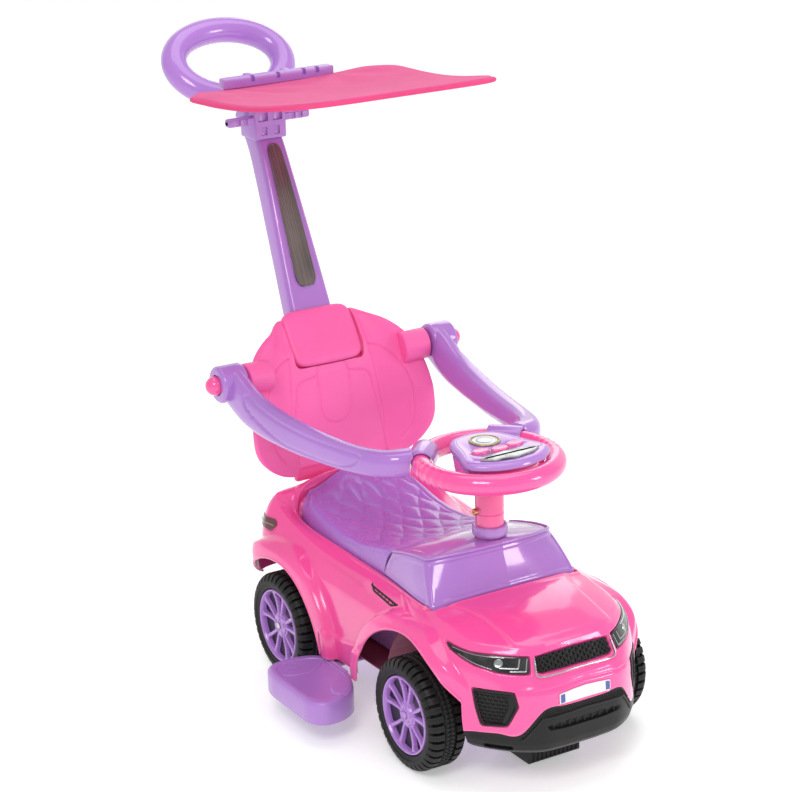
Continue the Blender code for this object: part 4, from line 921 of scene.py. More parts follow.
def bump_pt(s, z, off=0.0):
    """Point on the bumper at outline length s and height z."""
    f = np.interp(abs(s), SB, np.arange(nb))
    i = min(int(f), nb - 2)
    t = f - i
    out = []
    for c in (BUMP[i], BUMP[i + 1]):
        out.append([np.interp(z, c[:, 2], c[:, 0]), np.interp(z, c[:, 2], c[:, 1]), z])
    p = np.array(out[0]) * (1 - t) + np.array(out[1]) * t
    n = nb_[i] * (1 - t) + nb_[i + 1] * t
    p[:2] += n * off
    if s < 0:
        p[0] = -p[0]
    return p


SLOTS = [(0.0, .0962, .056, .0040), (.1235, .0668, .0200, .0034), (-.1235, .0668, .0200, .0034)]
BB = BUMP.copy()
for i in range(nb):
    for s0, z0, a, b in SLOTS:
        if s0 < 0:
            continue
        q = np.abs((SB[i] - s0) / a) ** 4 + np.abs((BB[i, :, 2] - z0) / b) ** 4
        BB[i, :, :2] -= nb_[i][None] * (.0050 * ss(1.25, .75, q))[:, None]
    band = ss(.0610, .0630, BB[i, :, 2]) * 0
    groove = np.exp(-((BB[i, :, 2] - np.interp(SB[i], [0, .0634, .0869, .1], [.114, .1109, .0832, .0790])) / .0011) ** 2)
    BB[i, :, :2] -= nb_[i][None] * (.0010 * groove * (SB[i] < .095))[:, None]
bump = sheet("bumper", BB, BLACK)
bump = thick(bump, .0025)
bump = boolean(bump, arch_cutters(.001, .090, rears=False))
dots = []
top_s = [(0, .1266), (.0669, .1208), (.0815, .1054), (.092, .0864), (.135, .0833)]
low_s = [(0, .1140), (.0634, .1109), (.0869, .0832), (.092, .0800)]
dv, df_ = [], []
k6 = 6
for r_i in range(5):
    f = (r_i + .5) / 5
    for s in np.arange(-.0870, .0871, .0034):
        s = s + (.0017 if r_i % 2 else 0)
        zt_, zl = np.interp(abs(s), *zip(*top_s)), np.interp(abs(s), *zip(*low_s))
        if zt_ - zl < .006:
            continue
        z = zl + (zt_ - zl) * f
        if z > np.interp(abs(s), SB, ztop) - .0012:
            continue
        b0 = len(dv)
        for off, rr in ((-.0003, .00125), (.0008, .0010), (.0013, .0004)):
            for q in range(k6):
                a = q * math.pi / 3
                dv.append(bump_pt(s + rr * math.cos(a), z + rr * math.sin(a), off))
        for lv in (0, 1):
            for q in range(k6):
                df_.append([b0 + lv * k6 + q, b0 + lv * k6 + (q + 1) % k6, b0 + (lv + 1) * k6 + (q + 1) % k6,
                            b0 + (lv + 1) * k6 + q])
        df_.append([b0 + 2 * k6 + q for q in range(k6)])
        df_.append([b0 + q for q in range(k6)][::-1])
dots = make("dots", dv, df_, BLACK, weld=0, angle=60)
lipz = np.linspace(-.0905, .0905, 120)
lip_ = np.array([bump_pt(s_, np.interp(abs(s_), *zip(*low_s)) - .0010, .0004) for s_ in lipz])
lip_ = tube("bumper_lip", even(lip_, 140), .0015, BLACK, 10)
slot_ribs = [tube("slot_rib", [bump_pt(s_, .0930, -.0026), bump_pt(s_, .0962, -.0024), bump_pt(s_, .0994, -.0026)], .0008, BLACK, 6)
             for s_ in np.arange(-.048, .0481, .012)]
bump = joined("bumper_front", [bump, dots, lip_] + slot_ribs, BLACK)
put(bump, "car", "lower_bumper")

# ---------------------------------------------------------------- grille
grille = badge("grille_back", GRILLE_LOOP, [(.0006, -.0056), (.0006, -.0042)], BLACK)
bars = [grille]
for k in range(5):
    sv = np.linspace(-.0665, .0665, 150)
    zc = .1702 + .0035 * k
    wave = .0011 * np.sin(sv * 2 * math.pi / .0105 + (math.pi if k % 2 else 0))
    lift = .0024 * (1 - (sv / .0665) ** 2) * (k + .5) / 5
    z = np.clip(zc - .0004 + wave + lift, .1680, .1885)
    bars.append(tube("bar", on_skin(sv, z, np.full(150, -.0022)), .00085, BLACK, 6))
for s in np.arange(-.063, .0631, .00525):
    z = np.linspace(.1682, .1868 if abs(s) > .035 else .1882, 6)
    bars.append(tube("rib", on_skin(np.full(6, s), z, np.full(6, -.0030)), .0006, BLACK, 5))
put(joined("grille_mesh", bars, BLACK), "car", "grille_insert")

# bright frame: round-cornered U under and beside the mesh
half = [(.0722, .1868), (.0715, .1790), (.0705, .1690), (.0680, .1640), (.0610, .1620), (.0450, .1622), (.0200, .1632), (0, .1637)]
upath = spline(half, 60)
upath = np.concatenate([upath, (upath * [-1, 1])[::-1][1:]])
upath = even(upath, 150)
sec_w, sec_h = .0012, .0014
up_pts = on_skin(*upath.T, np.full(150, .0012))
nrm = skin_n(*upath.T)
T = unit(np.gradient(up_pts, axis=0))
B = unit(np.cross(T, nrm))
N = np.cross(B, T)
sec = superellipse(1, 1, 14, 3.0)
grow = (.35 + .65 * ss(0, .06, np.minimum(np.linspace(0, 1, 150), 1 - np.linspace(0, 1, 150))))[:, None, None]
V = up_pts[:, None] + B[:, None] * sec[None, :, :1] * sec_w * grow + N[:, None] * sec[None, :, 1:] * sec_h * grow
F = grid_faces(150, 14, cm=True) + [list(range(14)), [149 * 14 + j for j in range(14)][::-1]]
put(make("grille_trim", V, F, CHROME), "car", "grille_frame")

# ---------------------------------------------------------------- lamps, fogs, plate, vents, tail lamps
for tag, sx in (("left", 1), ("right", -1)):
    loop = rounded(LAMP_LOOP, 110, .0030)
    obs = [badge("housing", loop, [(.0004, -.0030), (.0002, -.0006), (.0006, .0001), (.0012, .0003)], LAMP, side=sx)]
    # bright reflector strips under the clear face
    strips = [[(.0835, .1848), (.0850, .1700), (.1080, .1706)], [(.0950, .1850), (.0965, .1738), (.1230, .1742)],
              [(.1180, .1862), (.1600, .1866), (.1980, .1892)], [(.1330, .1722), (.1560, .1768), (.1850, .1842)]]
    sil = []
    for st in strips:
        p = even(np.array(st), 40)
        pts = on_skin(*p.T, np.full(40, .0004)) * [sx, 1, 1]
        sil.append(tube("strip", pts, .0010, SILVERED, 8, squash=.7))
    sil.append(badge("projector", np.array([(.1250 + .0062 * math.cos(a), .1795 + .0052 * math.sin(a)) for a in np.arange(24) * math.pi / 12]),
                     [(0, -.0004), (.0002, .0006), (.0010, .0011), (.0022, .0008)], LAMP_CLEAR, rings=3, side=sx))
    house = obs[0]
    put(house, "car", "headlight_" + tag)
    put(joined("lamp_silver_" + tag, sil, SILVERED), "car", ())
    # fog intake
    fl = rounded(FOG_LOOP, 96, .0050)
    back = badge("fog_back", fl, [(.0010, -.0044), (.0010, -.0034)], BLACK, side=sx)
    parts = [back]
    for k in range(9):
        z = .0990 + .0052 * k
        sv = np.linspace(.092, .162, 120)
        zz = z + .0009 * np.sin(sv * 2 * math.pi / .0075 + k * math.pi)
        keep = sdf(inset(fl, .0022), sv, zz) < 0
        if keep.sum() < 6:
            continue
        parts.append(tube("fbar", on_skin(sv[keep], zz[keep], np.full(keep.sum(), -.0020)) * [sx, 1, 1], .00075, BLACK, 6))
    for s0 in np.arange(.0950, .1600, .0038):
        zv = np.linspace(.092, .148, 60)
        sv = np.full(60, s0)
        keep = sdf(inset(fl, .0022), sv, zv) < 0
        if keep.sum() < 5:
            continue
        parts.append(tube("fribs", on_skin(sv[keep], zv[keep], np.full(keep.sum(), -.0027)) * [sx, 1, 1], .00055, BLACK, 5))
    rim = on_skin(*inset(fl, .0006).T, np.full(96, -.0002)) * [sx, 1, 1]
    parts.append(tube("fog_rim", rim, .0016, BLACK, 10, closed=True))
    inner = even(np.array([(.1010, .1425), (.0985, .1268), (.1115, .1008), (.1180, .1008), (.1075, .1262), (.1105, .1425)]), 70, closed=True)
    parts.append(badge("fog_web", inner, [(0, -.0040), (.0003, -.0008), (.0010, -.0003)], BLACK, rings=3, side=sx))
    put(joined("fog_mesh_" + tag, parts, BLACK), "car", "fog_insert_" + tag)
    # side vent on the shoulder
    fyo = cr(OUTLINE, np.linspace(0, 22, NU))[:, 1]

    def s_at(y):
        return float(np.interp(y, fyo[NU // 9:NU - NU // 9], S_ARR[NU // 9:NU - NU // 9]))
    vl = np.array([(s_at(.0125), .1990), (s_at(-.0704), .1968), (s_at(-.0572), .1915), (s_at(-.0028), .1938)])
    vl = rounded(vl, 90, .0030)
    vent = [badge("vent", vl, [(.0004, -.0022), (.0002, .0003), (.0008, .0008), (.0018, .0008), (.0022, -.0004)], BLACK, side=sx)]
    for k in range(6):
        s0 = vl[:, 0].min() + .013 + .010 * k
        p = np.array([(s0 - .0022, .1927), (s0 + .0022, .1975)])
        p = even(p, 6)
        keep = sdf(inset(vl, .0012), *p.T) < 0
        if keep.sum() > 2:
            vent.append(tube("slat", on_skin(*p[keep].T, np.full(keep.sum(), .0001)) * [sx, 1, 1], .0007, BLACK, 6))
    put(joined("vent_trim_" + tag, vent, BLACK), "car", "side_vent_" + tag)
    # tail lamp wrapped round the rear corner
    s1, s2 = s_at(.250), S_ARR[-1] - .070
    tl = np.array([(s1, .2095), (s1 + .010, .2160), (s2 - .02, .2125), (s2, .2080), (s2 - .006, .2010), (s1 + .010, .1985)])
    tl = rounded(tl, 100, .0030)
    put(badge("tail_lamp_" + tag, tl, [(.0004, -.0014), (.0002, .0010), (.0008, .0017), (.0016, .0019)], TAIL, side=sx),
        "car", "tail_light_" + tag)
    strip = even(np.array([(s1 + .006, .2075), (s2 - .016, .2065)]), 50)
    put(tube("tail_strip_" + tag, on_skin(*strip.T, np.full(50, .0017)) * [sx, 1, 1], .0011, SILVERED, 8, squash=.7),
        "car", ())

pl_loop = rounded(PLATE_LOOP, 96, .0016)
put(badge("number_plate", pl_loop, [(.0004, -.0014), (.0002, .0006), (.0007, .0010), (.0016, .0010), (.0019, .0006)], PLATEM),
    "car", "plate_panel")
ends = []
for sx in (1, -1):
    e = np.array([(.0318, .1274), (.0318, .1409), (.0388, .1396), (.0388, .1273)])
    ends.append(badge("plate_end", rounded(e, 40, .0006), [(0, .0002), (.0002, .0010)], PLATE_BLUE, rings=3, side=sx))
put(joined("plate_ends", ends, PLATE_BLUE), "car", ())


# ================================================================ more shapes
def lathe(name, prof, center, mat, axis="X", steps=96, disp=None, angle=38, flip=1):
    """Closed (r, h) profile turned round an axis through a point; disp gives (dr, dh) per angle."""
    prof = np.asarray(prof, float)
    th = np.arange(steps) * 2 * math.pi / steps if isinstance(steps, int) else np.asarray(steps)
    R = np.repeat(prof[None, :, 0], len(th), 0)
    H = np.repeat(prof[None, :, 1], len(th), 0)
    if disp is not None:
        dr, dh = disp(th[:, None], R, H)
        R, H = R + dr, H + dh
    c, s = np.cos(th)[:, None] * R, np.sin(th)[:, None] * R
    V = np.stack([H * flip, c, s], -1) if axis == "X" else np.stack([c, s, H], -1)
    return make(name, V + np.asarray(center, float), grid_faces(len(th), len(prof), True, True), mat, angle=angle)


def disc(name, R, H, steps, center, mat, flip=1, back=-.004, angle=40):
    """Solid of revolution-like face: heights H (steps, len(R)) over polar rings R, flat back."""
    th = np.arange(steps) * 2 * math.pi / steps
    top = np.stack([H * flip, np.cos(th)[:, None] * R, np.sin(th)[:, None] * R], -1)
    bot = top.copy()
    bot[..., 0] = flip * (H.min() + back)
    V = np.concatenate([bot[:, ::-1], top], 1)
    return make(name, V + np.asarray(center, float), grid_faces(steps, V.shape[1], True, True), mat, angle=angle)


def prism(name, loop, path, side, up, mat):
    """Closed section moved along straight points without turning."""
    V = np.array([[np.asarray(p) + np.asarray(side) * a + np.asarray(up) * b for a, b in loop] for p in path])
    n, m = V.shape[:2]
    return make(name, V, grid_faces(n, m, cm=True) + [list(range(m)), [(n - 1) * m + j for j in range(m)][::-1]], mat)


# ================================================================ dash cowl
CB = [(0, -.1500, .2186), (.030, -.1488, .2182), (.060, -.1462, .2167), (.090, -.1410, .2138), (.106, -.1375, .2115),
      (.1165, -.1335, .2085), (.1160, -.1180, .2086), (.1145, -.0900, .2081), (.1100, -.0550, .2070),
      (.1060, -.0250, .2060), (.1020, .0130, .2048)]
CT = [(0, -.1290, .2760), (.028, -.1268, .2752), (.054, -.1205, .2728), (.076, -.1110, .2695), (.090, -.1030, .2665),
      (.0975, -.0950, .2640), (.0985, -.0850, .2632), (.0978, -.0640, .2600), (.0968, -.0440, .2555),
      (.0958, -.0220, .2500), (.0945, -.0030, .2440)]
CC = [(0, -.1230, .2775), (0, -.1180, .2785), (0, -.1130, .2790), (0, -.1060, .2795), (0, -.0980, .2790), (0, -.0890, .2780),
      (0, -.0780, .2755), (0, -.0600, .2705), (0, -.0410, .2640), (0, -.0200, .2560), (0, -.0030, .2490)]

nc = 161
uc = np.linspace(0, 10, nc)
b, t, c = cr(CB, uc), cr(CT, uc), cr(CC, uc)
B = b.copy()
B[:, 1] += np.where(B[:, 1] < -.13, .0008, 0)
B[:, 0] = np.maximum(B[:, 0] - .0008 * ss(4.2, 4.8, uc), 0)
along = unit(np.gradient(B, axis=0))
face = np.cross(t - B, along)
face = unit(face)
face = np.where((face[:, 1:2] > 0) & (uc[:, None] < 3), -face, face)
face = np.where((face[:, :1] < 0) & (uc[:, None] >= 3), -face, face)
low = B - [0, 0, .0080]
low[:, 1] += .0004
rows = [low, B - [0, 0, .0016] - face * .0002]
wv = np.linspace(0, 1, 46)
h = np.linalg.norm(t - B, axis=1)
for u in wv:
    p = B * (1 - u) + t * u
    dl, du = u * h, (1 - u) * h
    glass = ss(.0060, .0085, dl) * ss(.0065, .0090, du) * ss(4.75, 4.55, uc)
    side_ = ss(.0050, .0070, dl) * ss(.0085, .0110, du) * ss(5.75, 5.95, uc) * ss(9.7, 9.5, uc)
    rnd = .0012 * (1 - ss(0, .0030, dl)) + .0014 * (1 - ss(0, .0032, du))
    bow = .0016 * math.sin(math.pi * u)
    rows.append(p + face * (bow - .0022 * glass - .0009 * side_ - rnd)[:, None])
for u in np.linspace(0, 1, 40)[1:]:
    p = t * (1 - u) + c * u
    w = np.linalg.norm(c - t, axis=1) * u
    p[:, 2] += .0018 * math.sin(math.pi * u) - .0010 * (1 - ss(0, .0035, w)) \
        + .0012 * ss(.0115, .0095, w) * ss(.0, .004, w)
    rows.append(p)
G = np.stack(rows, 1)
G[0, :, 0] = 0
G[:, -1, 0] = 0
cowl = thick(sheet("cowl", G, LILAC), .0024)
cowl = boolean(cowl, rod("bore", (0, COLUMN_Y, .24), (0, COLUMN_Y, .32), round_ends(COLUMN_R + .0012, .08, .0, False, False), LILAC, 64))
bead = t + face * .0004 + [0, 0, .0004]
bead = even(bead[:int(nc * .985)], 140)
lip1 = np.concatenate([(bead * [-1, 1, 1])[::-1], bead[1:]])
frame_bead = tube("bead", lip1, .0024, LILAC, 12)
put(joined("dash", [cowl, frame_bead], LILAC), "car", "dash_cowl")

e = .0010
collar = [(.0200, .0000), (.0200, .0150), (.0225, .0150), (.0232, .0146), (.0237, .0138), (.0240, .0125), (.0240, .0040),
          (.0232, .0036), (.0232, .0028), (.0239, .0022), (.0234, .0008), (.0222, .0000)]
put(lathe("collar", collar, (0, COLUMN_Y, .2808), LILAC, "Z", 72), "car", "column_collar")

# ================================================================ steering
colp = [(.0165, .0950), (.0187, .0950), (.0192, .0946), (.0195, .0940), (.0195, .0520), (.0189, .0514), (.0189, .0506), (.0195, .0500),
        (.0195, .0105), (.0190, .0100), (.0165, .0100)]
column = lathe("tube", colp, (0, COLUMN_Y, .2620), PINK, "Z", 80)
boss = rod("boss", (-.0202, COLUMN_Y, .3170), (-.0170, COLUMN_Y, .3170), round_ends(.0066, .0032, .0008), PINK, 32)
boss2 = rod("boss", (.0170, COLUMN_Y, .3170), (.0200, COLUMN_Y, .3170), round_ends(.0058, .0030, .0008, True, True), PINK, 32)
rib = rbox("rib", (-.0172, COLUMN_Y - .0044, .2901), (.0172, COLUMN_Y + .0044, .3019), .0004, PINK, 1)
put(joined("column_tube", [column, boss, boss2, rib], PINK), "steering", "steering_column")
head = rod("head", (-.0262, COLUMN_Y, .3170), (-.0203, COLUMN_Y, .3170), [(0, .0036), (.0006, .0043), (.0014, .0048), (.0059, .0048)], BRASS, 32)
head = boolean(head, rbox("x", (-.0270, COLUMN_Y - .0006, .3170 - .0030), (-.0246, COLUMN_Y + .0006, .3170 + .0030), 0, BRASS))
head = boolean(head, rbox("x", (-.0271, COLUMN_Y - .0030, .3170 - .0006), (-.0247, COLUMN_Y + .0030, .3170 + .0006), 0, BRASS))
shank = rod("shank", (-.0204, COLUMN_Y, .3170), (.0225, COLUMN_Y, .3170), round_ends(.0017, .0429, .0004), BRASS, 16)
put(joined("cross_screw", [head, shank], BRASS), "steering", "column_screw")

nr_ = 240
a = np.arange(nr_) * 2 * math.pi / nr_
ringpts = np.stack([RING_R * np.cos(a), COLUMN_Y + RING_R * np.sin(a), np.full(nr_, RING_Z)], 1)
sec = circle(1, 30)
ring_sec = np.zeros((nr_, 30, 2))
for i, ang in enumerate(a):
    deg = math.degrees(ang) % 360
    grip = max(float(ss(163, 168, deg) * ss(206, 201, deg)), float(ss(334, 339, deg if deg > 180 else deg + 360) * ss(377, 372, deg if deg > 180 else deg + 360)))
    wave = .5 - .5 * math.cos(math.radians(deg) * 45)
    r = RING_TUBE - .0013 * grip * wave * (.35 + .65 * np.clip(1 - sec[:, 1], 0, 1))
    r = r * (1 - .012 * np.exp(-(sec[:, 1] / .09) ** 2))
    ring_sec[i] = sec * np.atleast_1d(r)[:, None]
put(sweep("ring", ringpts, ring_sec, PINK, up=(0, 0, 1), closed=True), "steering", "steering_ring")


def torus(r, n=120, k=20, mat=None):
    q = np.arange(n) * 2 * math.pi / n
    p = np.stack([RING_R * np.cos(q), COLUMN_Y + RING_R * np.sin(q), np.full(n, RING_Z)], 1)
    return sweep("torus", p, circle(r, k), mat or PINK, up=(0, 0, 1), closed=True)


HUB = [(.000, -.1828), (.026, -.1788), (.048, -.1682), (.064, -.1520), (.0640, -.1350), (.0560, -.1100),
       (.0460, -.0760), (.0330, -.0560), (.0150, -.0480), (0, -.0460)]
hk = np.array(HUB + [(-x, y) for x, y in reversed(HUB) if x > 0])
HUBL = even(loop_spline(hk, 200), 120, closed=True)


def hub_stack(name, levels, mat):
    V = []
    for z, off, front in levels:
        v = HUBL - [0, -.1120]
        v = v - unit(v) * off
        y2 = v[:, 1] - .1120
        y2 = y2 + front * ss(-.140, -.158, y2)
        V.append(np.column_stack([v[:, 0], y2, np.full(len(v), z)]))
    m = len(HUBL)
    n = len(V)
    F = grid_faces(n, m, cm=True) + [list(range(m))[::-1], [(n - 1) * m + j for j in range(m)]]
    return make(name, np.array(V), F, mat, angle=34)


hub = hub_stack("hub", [(.3560, .0275, .014), (.3564, .0262, .014), (.3575, .0240, .014), (.3630, .0120, .014), (.3645, .0100, .014),
                        (.3662, .0090, .014), (.3760, .0068, .0138), (.3766, .0072, .0138), (.3774, .0072, .0138), (.3780, .0066, .0138),
                        (.3900, .0047, .0135), (.3918, .0046, .0135), (.3925, .0052, .0135)], PINK)
hub = boolean(hub, torus(RING_TUBE + .0005))
hub = boolean(hub, rod("neck", (0, COLUMN_Y, .3400), (0, COLUMN_Y, .3575), round_ends(COLUMN_R + .0003, .0175, 0, False, False), PINK, 60))
put(hub, "steering", "steering_hub")
cover = hub_stack("cover", [(.3928, .0044, .0135), (.3932, .0040, .0133), (.3985, .0030, .0125), (.3990, .0022, .0060), (.3996, .0012, .0006),
                            (.4004, .0008, .0001), (.4042, .0008, .0006), (.4058, .0014, .0012), (.4072, .0028, .0024), (.4083, .0052, .0042),
                            (.4088, .0078, .0060), (.4089, .0094, .0072), (.4085, .0100, .0078), (.4085, .0106, .0084), (.4090, .0112, .0090)], LILAC)
cover = boolean(cover, torus(RING_TUBE + .0005))
BTN = (("left", -.0268, -.1218, .0126, .0082), ("middle", 0.0, -.1272, .0126, .0080), ("right", .0268, -.1218, .0126, .0082))


def oval(name, x, y, a_, b_, levels, mat, k=48):
    loop = np.stack([x + a_ * np.cos(np.arange(k) * 2 * math.pi / k), y + b_ * np.sin(np.arange(k) * 2 * math.pi / k)], 1)
    return stack(name, loop, levels, mat, 32)


cover = boolean(cover, [oval("well", x, y, a_ + .0005, b_ + .0005, [(.4040, 0), (.4087, 0), (.4092, -.0007), (.4120, -.0007)], LILAC)
                        for _, x, y, a_, b_ in BTN])
put(cover, "steering", "hub_cover")
TOP = .4094
for (tag, x, y, a_, b_), body in zip(BTN, ("left", "middle", "right")):
    btn = oval("push_button_" + tag, x, y, a_, b_, [(.4064, .0002), (.4066, 0), (.4104, 0), (.4111, .0004), (.4116, .0011), (.4118, .0022),
                                                    (.4116, .0034), (.4114, .0048)], PINK)
    bn = "horn_" + body
    put(btn, bn if bn in frame["bodies"] else "horn_" + body, "button_" + tag)
q = 2 * math.pi / 96
dl = np.stack([.0215 * np.cos(np.arange(96) * q), -.0905 + .0215 * np.sin(np.arange(96) * q)], 1)
dial = stack("dial_rim", dl, [(TOP, .0002), (TOP + .0012, 0), (TOP + .0018, .0004), (TOP + .0022, .0012), (TOP + .0022, .0022), (TOP + .0017, .0030),
                              (TOP + .0010, .0034), (TOP + .0010, .0050)], GOLD)
put(dial, "steering", "hub_dial")
dl2 = np.stack([.0176 * np.cos(np.arange(96) * q), -.0905 + .0176 * np.sin(np.arange(96) * q)], 1)
face_ = stack("dial_face", dl2, [(TOP + .0009, .0002), (TOP + .0013, 0), (TOP + .0017, .0005), (TOP + .0018, .0014), (TOP + .0014, .0024), (TOP + .0014, .0060),
                                 (TOP + .0019, .0072), (TOP + .0020, .0086), (TOP + .0020, .0120)], SILVERED)
put(face_, "steering", ())
WIN = np.array([(-.0480, -.1500), (-.0300, -.1632), (0, -.1690), (.0300, -.1632), (.0480, -.1500), (.0300, -.1422), (0, -.1397), (-.0300, -.1422)])
wl = rounded(WIN, 110, .0032)
put(stack("wedge_window", wl, [(TOP, .0003), (TOP + .0010, .0001), (TOP + .0017, .0005), (TOP + .0021, .0014), (TOP + .0022, .0024), (TOP + .0018, .0034), (TOP + .0018, .0050)], WINDOWM),
    "steering", "hub_window")
bat = rbox("battery_lid", (-.0170, -.1400, .3530), (.0170, -.1215, .3557), .0008, PINK, 3)
bat = boolean(bat, [rbox("g", (x - .0006, -.1380, .3520), (x + .0006, -.1235, .3536), 0, PINK) for x in (-.012, -.008, .008, .012)]
              + [rod("g", (0, -.1308, .3520), (0, -.1308, .3538), round_ends(.0028, .0018, 0, False, False), PINK, 24)])
put(bat, "steering", "battery_cover")

# ================================================================ seat lid
SE = [(.1012, .0138, .2046), (.1000, .0450, .2045), (.0990, .0850, .2040), (.0980, .1250, .2040),
      (.0980, .1700, .2042), (.0980, .2150, .2050), (.0975, .2450, .2080), (.0962, .2560, .2112)]
SEAT_Z = [(-.0030, .2490), (.030, .2370), (.060, .2270), (.100, .2200), (.140, .2190), (.180, .2225),
          (.220, .2330), (.255, .2500), (.2830, .2620)]
CREST = [(0, .0400), (.13, .0330), (.32, .0220), (.50, .0190), (.68, .0225), (.84, .0310), (1, .0400)]


def smooth_table(tab, x):
    """Table values blurred a little so that its corners don't show."""
    xs, ys = zip(*tab)
    g = np.linspace(xs[0], xs[-1], 400)
    v = np.interp(g, xs, ys)
    k = np.hanning(41)
    w = np.convolve(np.pad(v, 20, mode="reflect", reflect_type="odd"), k / k.sum(), "valid")
    return np.interp(x, g, w)


nv = 150
sv = np.linspace(0, 1, nv)
ye, yc = .0150 + sv * .2390, -.0020 + sv * .2835
SEa = np.array(SE)
xe = np.interp(ye, SEa[:, 1], SEa[:, 0]) - .0007 - .0010 * ss(.90, .96, sv)
ze = np.interp(ye, SEa[:, 1], SEa[:, 2])
hh = smooth_table(CREST, sv)
zc = smooth_table(SEAT_Z, yc)
hh = hh * (1 - .20 * ss(.86, 1, sv) ** 2)
xt = .0110 * ss(.80, 1, sv) ** 2
keys = [np.stack([xe - .0010, ye, ze - .0085], 1), np.stack([xe, ye, ze], 1)]
for a_, hx, hy in ((.02, .45, .12), (.055, .80, .35), (.12, 1.0, .65)):
    keys.append(np.stack([xe * (1 - a_) - xt * max(hx - .45, 0) / .55, ye + (yc - ye) * hy, ze + hh * hx], 1))
top = ze + hh
nx_ = 64
inner = []
for u in np.linspace(0, 1, nx_ + 1)[1:]:
    w = u * u * (3 - 2 * u)
    inner.append(np.stack([(xe * .88 - xt) * (1 - u), ye + (yc - ye) * (.65 + .35 * u), top * (1 - w) + zc * w], 1))
outer = cr(np.array(keys[1:] + inner[:1]), np.linspace(0, 3, 22))
G = np.concatenate([np.array([keys[0]]), outer, np.array(inner)]).transpose(1, 0, 2)      # nv, cols, 3
N = np.zeros_like(G)
gu = np.gradient(G, axis=0)
gv = np.gradient(G, axis=1)
N = unit(np.cross(gv, gu))
N = np.where(N[..., 2:] < 0, -N, N)
X, Y = G[..., 0], G[..., 1]
px, py = X / .0330, (Y - .02) / .0560 + .10 * np.sin(X / .012)
qa = np.abs(np.sin(math.pi * (px + py))) ** .55
qb = np.abs(np.sin(math.pi * (px - py))) ** .55
puff = qa * qb
crest_x = xe[:, None] * .88 - xt[:, None]
mask = ss(.93, .87, X / crest_x) * ss(.035, .075, sv)[:, None] * ss(.955, .915, sv)[:, None]
edge = np.exp(-(((X / crest_x) - .925) / .018) ** 2) * ss(.02, .05, sv)[:, None] * ss(.97, .94, sv)[:, None]
hgt = mask * (.0022 * puff - .0015) - .0010 * edge * (1 - mask * .5)
hgt[:, :2] = 0
G = G + N * hgt[..., None]
G[:, -1, 0] = 0
fine_edge = ss(0, .008, np.linspace(0, 1, nv) * .24)
G[:, 3:, 2] -= (.0016 * (1 - fine_edge))[:, None]
last = G[-1].copy()
r1 = last + [0, .0006, -.0012]
r2 = last + [0, .0008, -.0085]
r1[:2] = last[:2] + [0, .0001, 0]
r2[:2] = last[:2] + [0, .0002, 0]
G = np.concatenate([G, r1[None], r2[None]])
G[:, -1, 0] = 0
seat = thick(sheet("seat_skin", G, SEATM), .0024)
tabs = [rbox("tab", (s_ * .05 - .012, -.0120, .2405), (s_ * .05 + .012, .0120, .2440), .0006, SEATM, 2) for s_ in (-1, 1)]
put(joined("seat_quilted", [seat] + tabs, SEATM), "seat", "seat_lid")

# ================================================================ backrest and headrest
WING = [(.0880, .2610), (.1040, .2655), (.1190, .2735), (.1320, .2840), (.1440, .2980), (.1505, .3130),
        (.1525, .3300), (.1520, .3600), (.1490, .3880), (.1420, .4120), (.1320, .4310), (.1180, .4470),
        (.0980, .4610), (.0780, .4690), (.0620, .4750)]
nz = 210
w = even(spline(WING, 400), nz)
nxh = 110
kx = np.linspace(-1, 1, 2 * nxh + 1)
kx = np.sign(kx) * (1 - (1 - np.abs(kx)) ** 1.25)
W, Z = w[:, 0][:, None], w[:, 1][:, None]
X = W * kx[None]
Zg = Z + 0 * X
ycn = .2960 + .17 * (Z - .252) + .10 * np.maximum(Z - .40, 0)
yw = .2710 + .387 * (Z - .335)
dep = np.clip(ycn - yw, 0, .034) * np.sin(math.pi * np.clip((Z - .250) / .22, 0, 1)) ** .5
t_ = np.clip((np.abs(X) - .062) / np.maximum(W - .062, .02), 0, 1)
Yf = ycn - dep * t_ * t_ * (3 - 2 * t_)
lean = ss(.094, .060, np.abs(X)) * ss(.424, .446, Zg)
Yf = Yf + lean * (.3225 + .70 * (Zg - .4208) - Yf)
ax = np.abs(X)
# raised middle panel, its inner seam, the wings' line and the tongue
vcx = np.interp(Zg, [.265, .332, .388, .43, .464], [.078, .0756, .071, .066, .063])
panel = ss(.0015, -.0015, ax - vcx)
e_ = .0026 * panel
seam_in = [(.028, .3966), (.050, .3925), (.0575, .389), (.0625, .380), (.0655, .360), (.0705, .334), (.074, .266)]
e_ -= .0016 * np.exp(-(pline(spline(seam_in, 60), ax, Zg) / .0012) ** 2)
wing_l = [(.068, .427), (.086, .420), (.105, .405), (.118, .379), (.121, .347), (.116, .308), (.099, .284)]
e_ -= .0018 * np.exp(-(pline(spline(wing_l, 60), ax, Zg) / .0014) ** 2)
tongue = [(0, .4115), (.0206, .411), (.0265, .398), (.026, .375), (.0255, .345), (.0165, .329), (0, .324)]
tl_ = np.array(tongue + [(-x, z) for x, z in reversed(tongue) if x > 0])
q_ = sdf(loop_spline(tl_, 120), X, Zg)
e_ -= .0015 * np.exp(-(q_ / .0012) ** 2)
edge_d = np.minimum(W - ax, np.minimum(Zg - .2600, .4765 - Zg) * 1.0)
dist_o = -sdf(np.concatenate([w, (w * [-1, 1])[::-1]]), X, Zg)
rr_ = np.clip(1 - dist_o / .0055, 0, 1)
round_ = .0052 * (1 - np.sqrt(np.clip(1 - rr_ * rr_, 0, 1)))
front = np.stack([X, Yf - e_ * ss(.004, .010, dist_o) + round_, Zg], -1)
backg = np.stack([X, Yf + .0120 - round_, Zg], -1)
back = closed_pad("panel", front, backg, SATIN)
ax_, az_ = ARM_PIVOT
adds = []
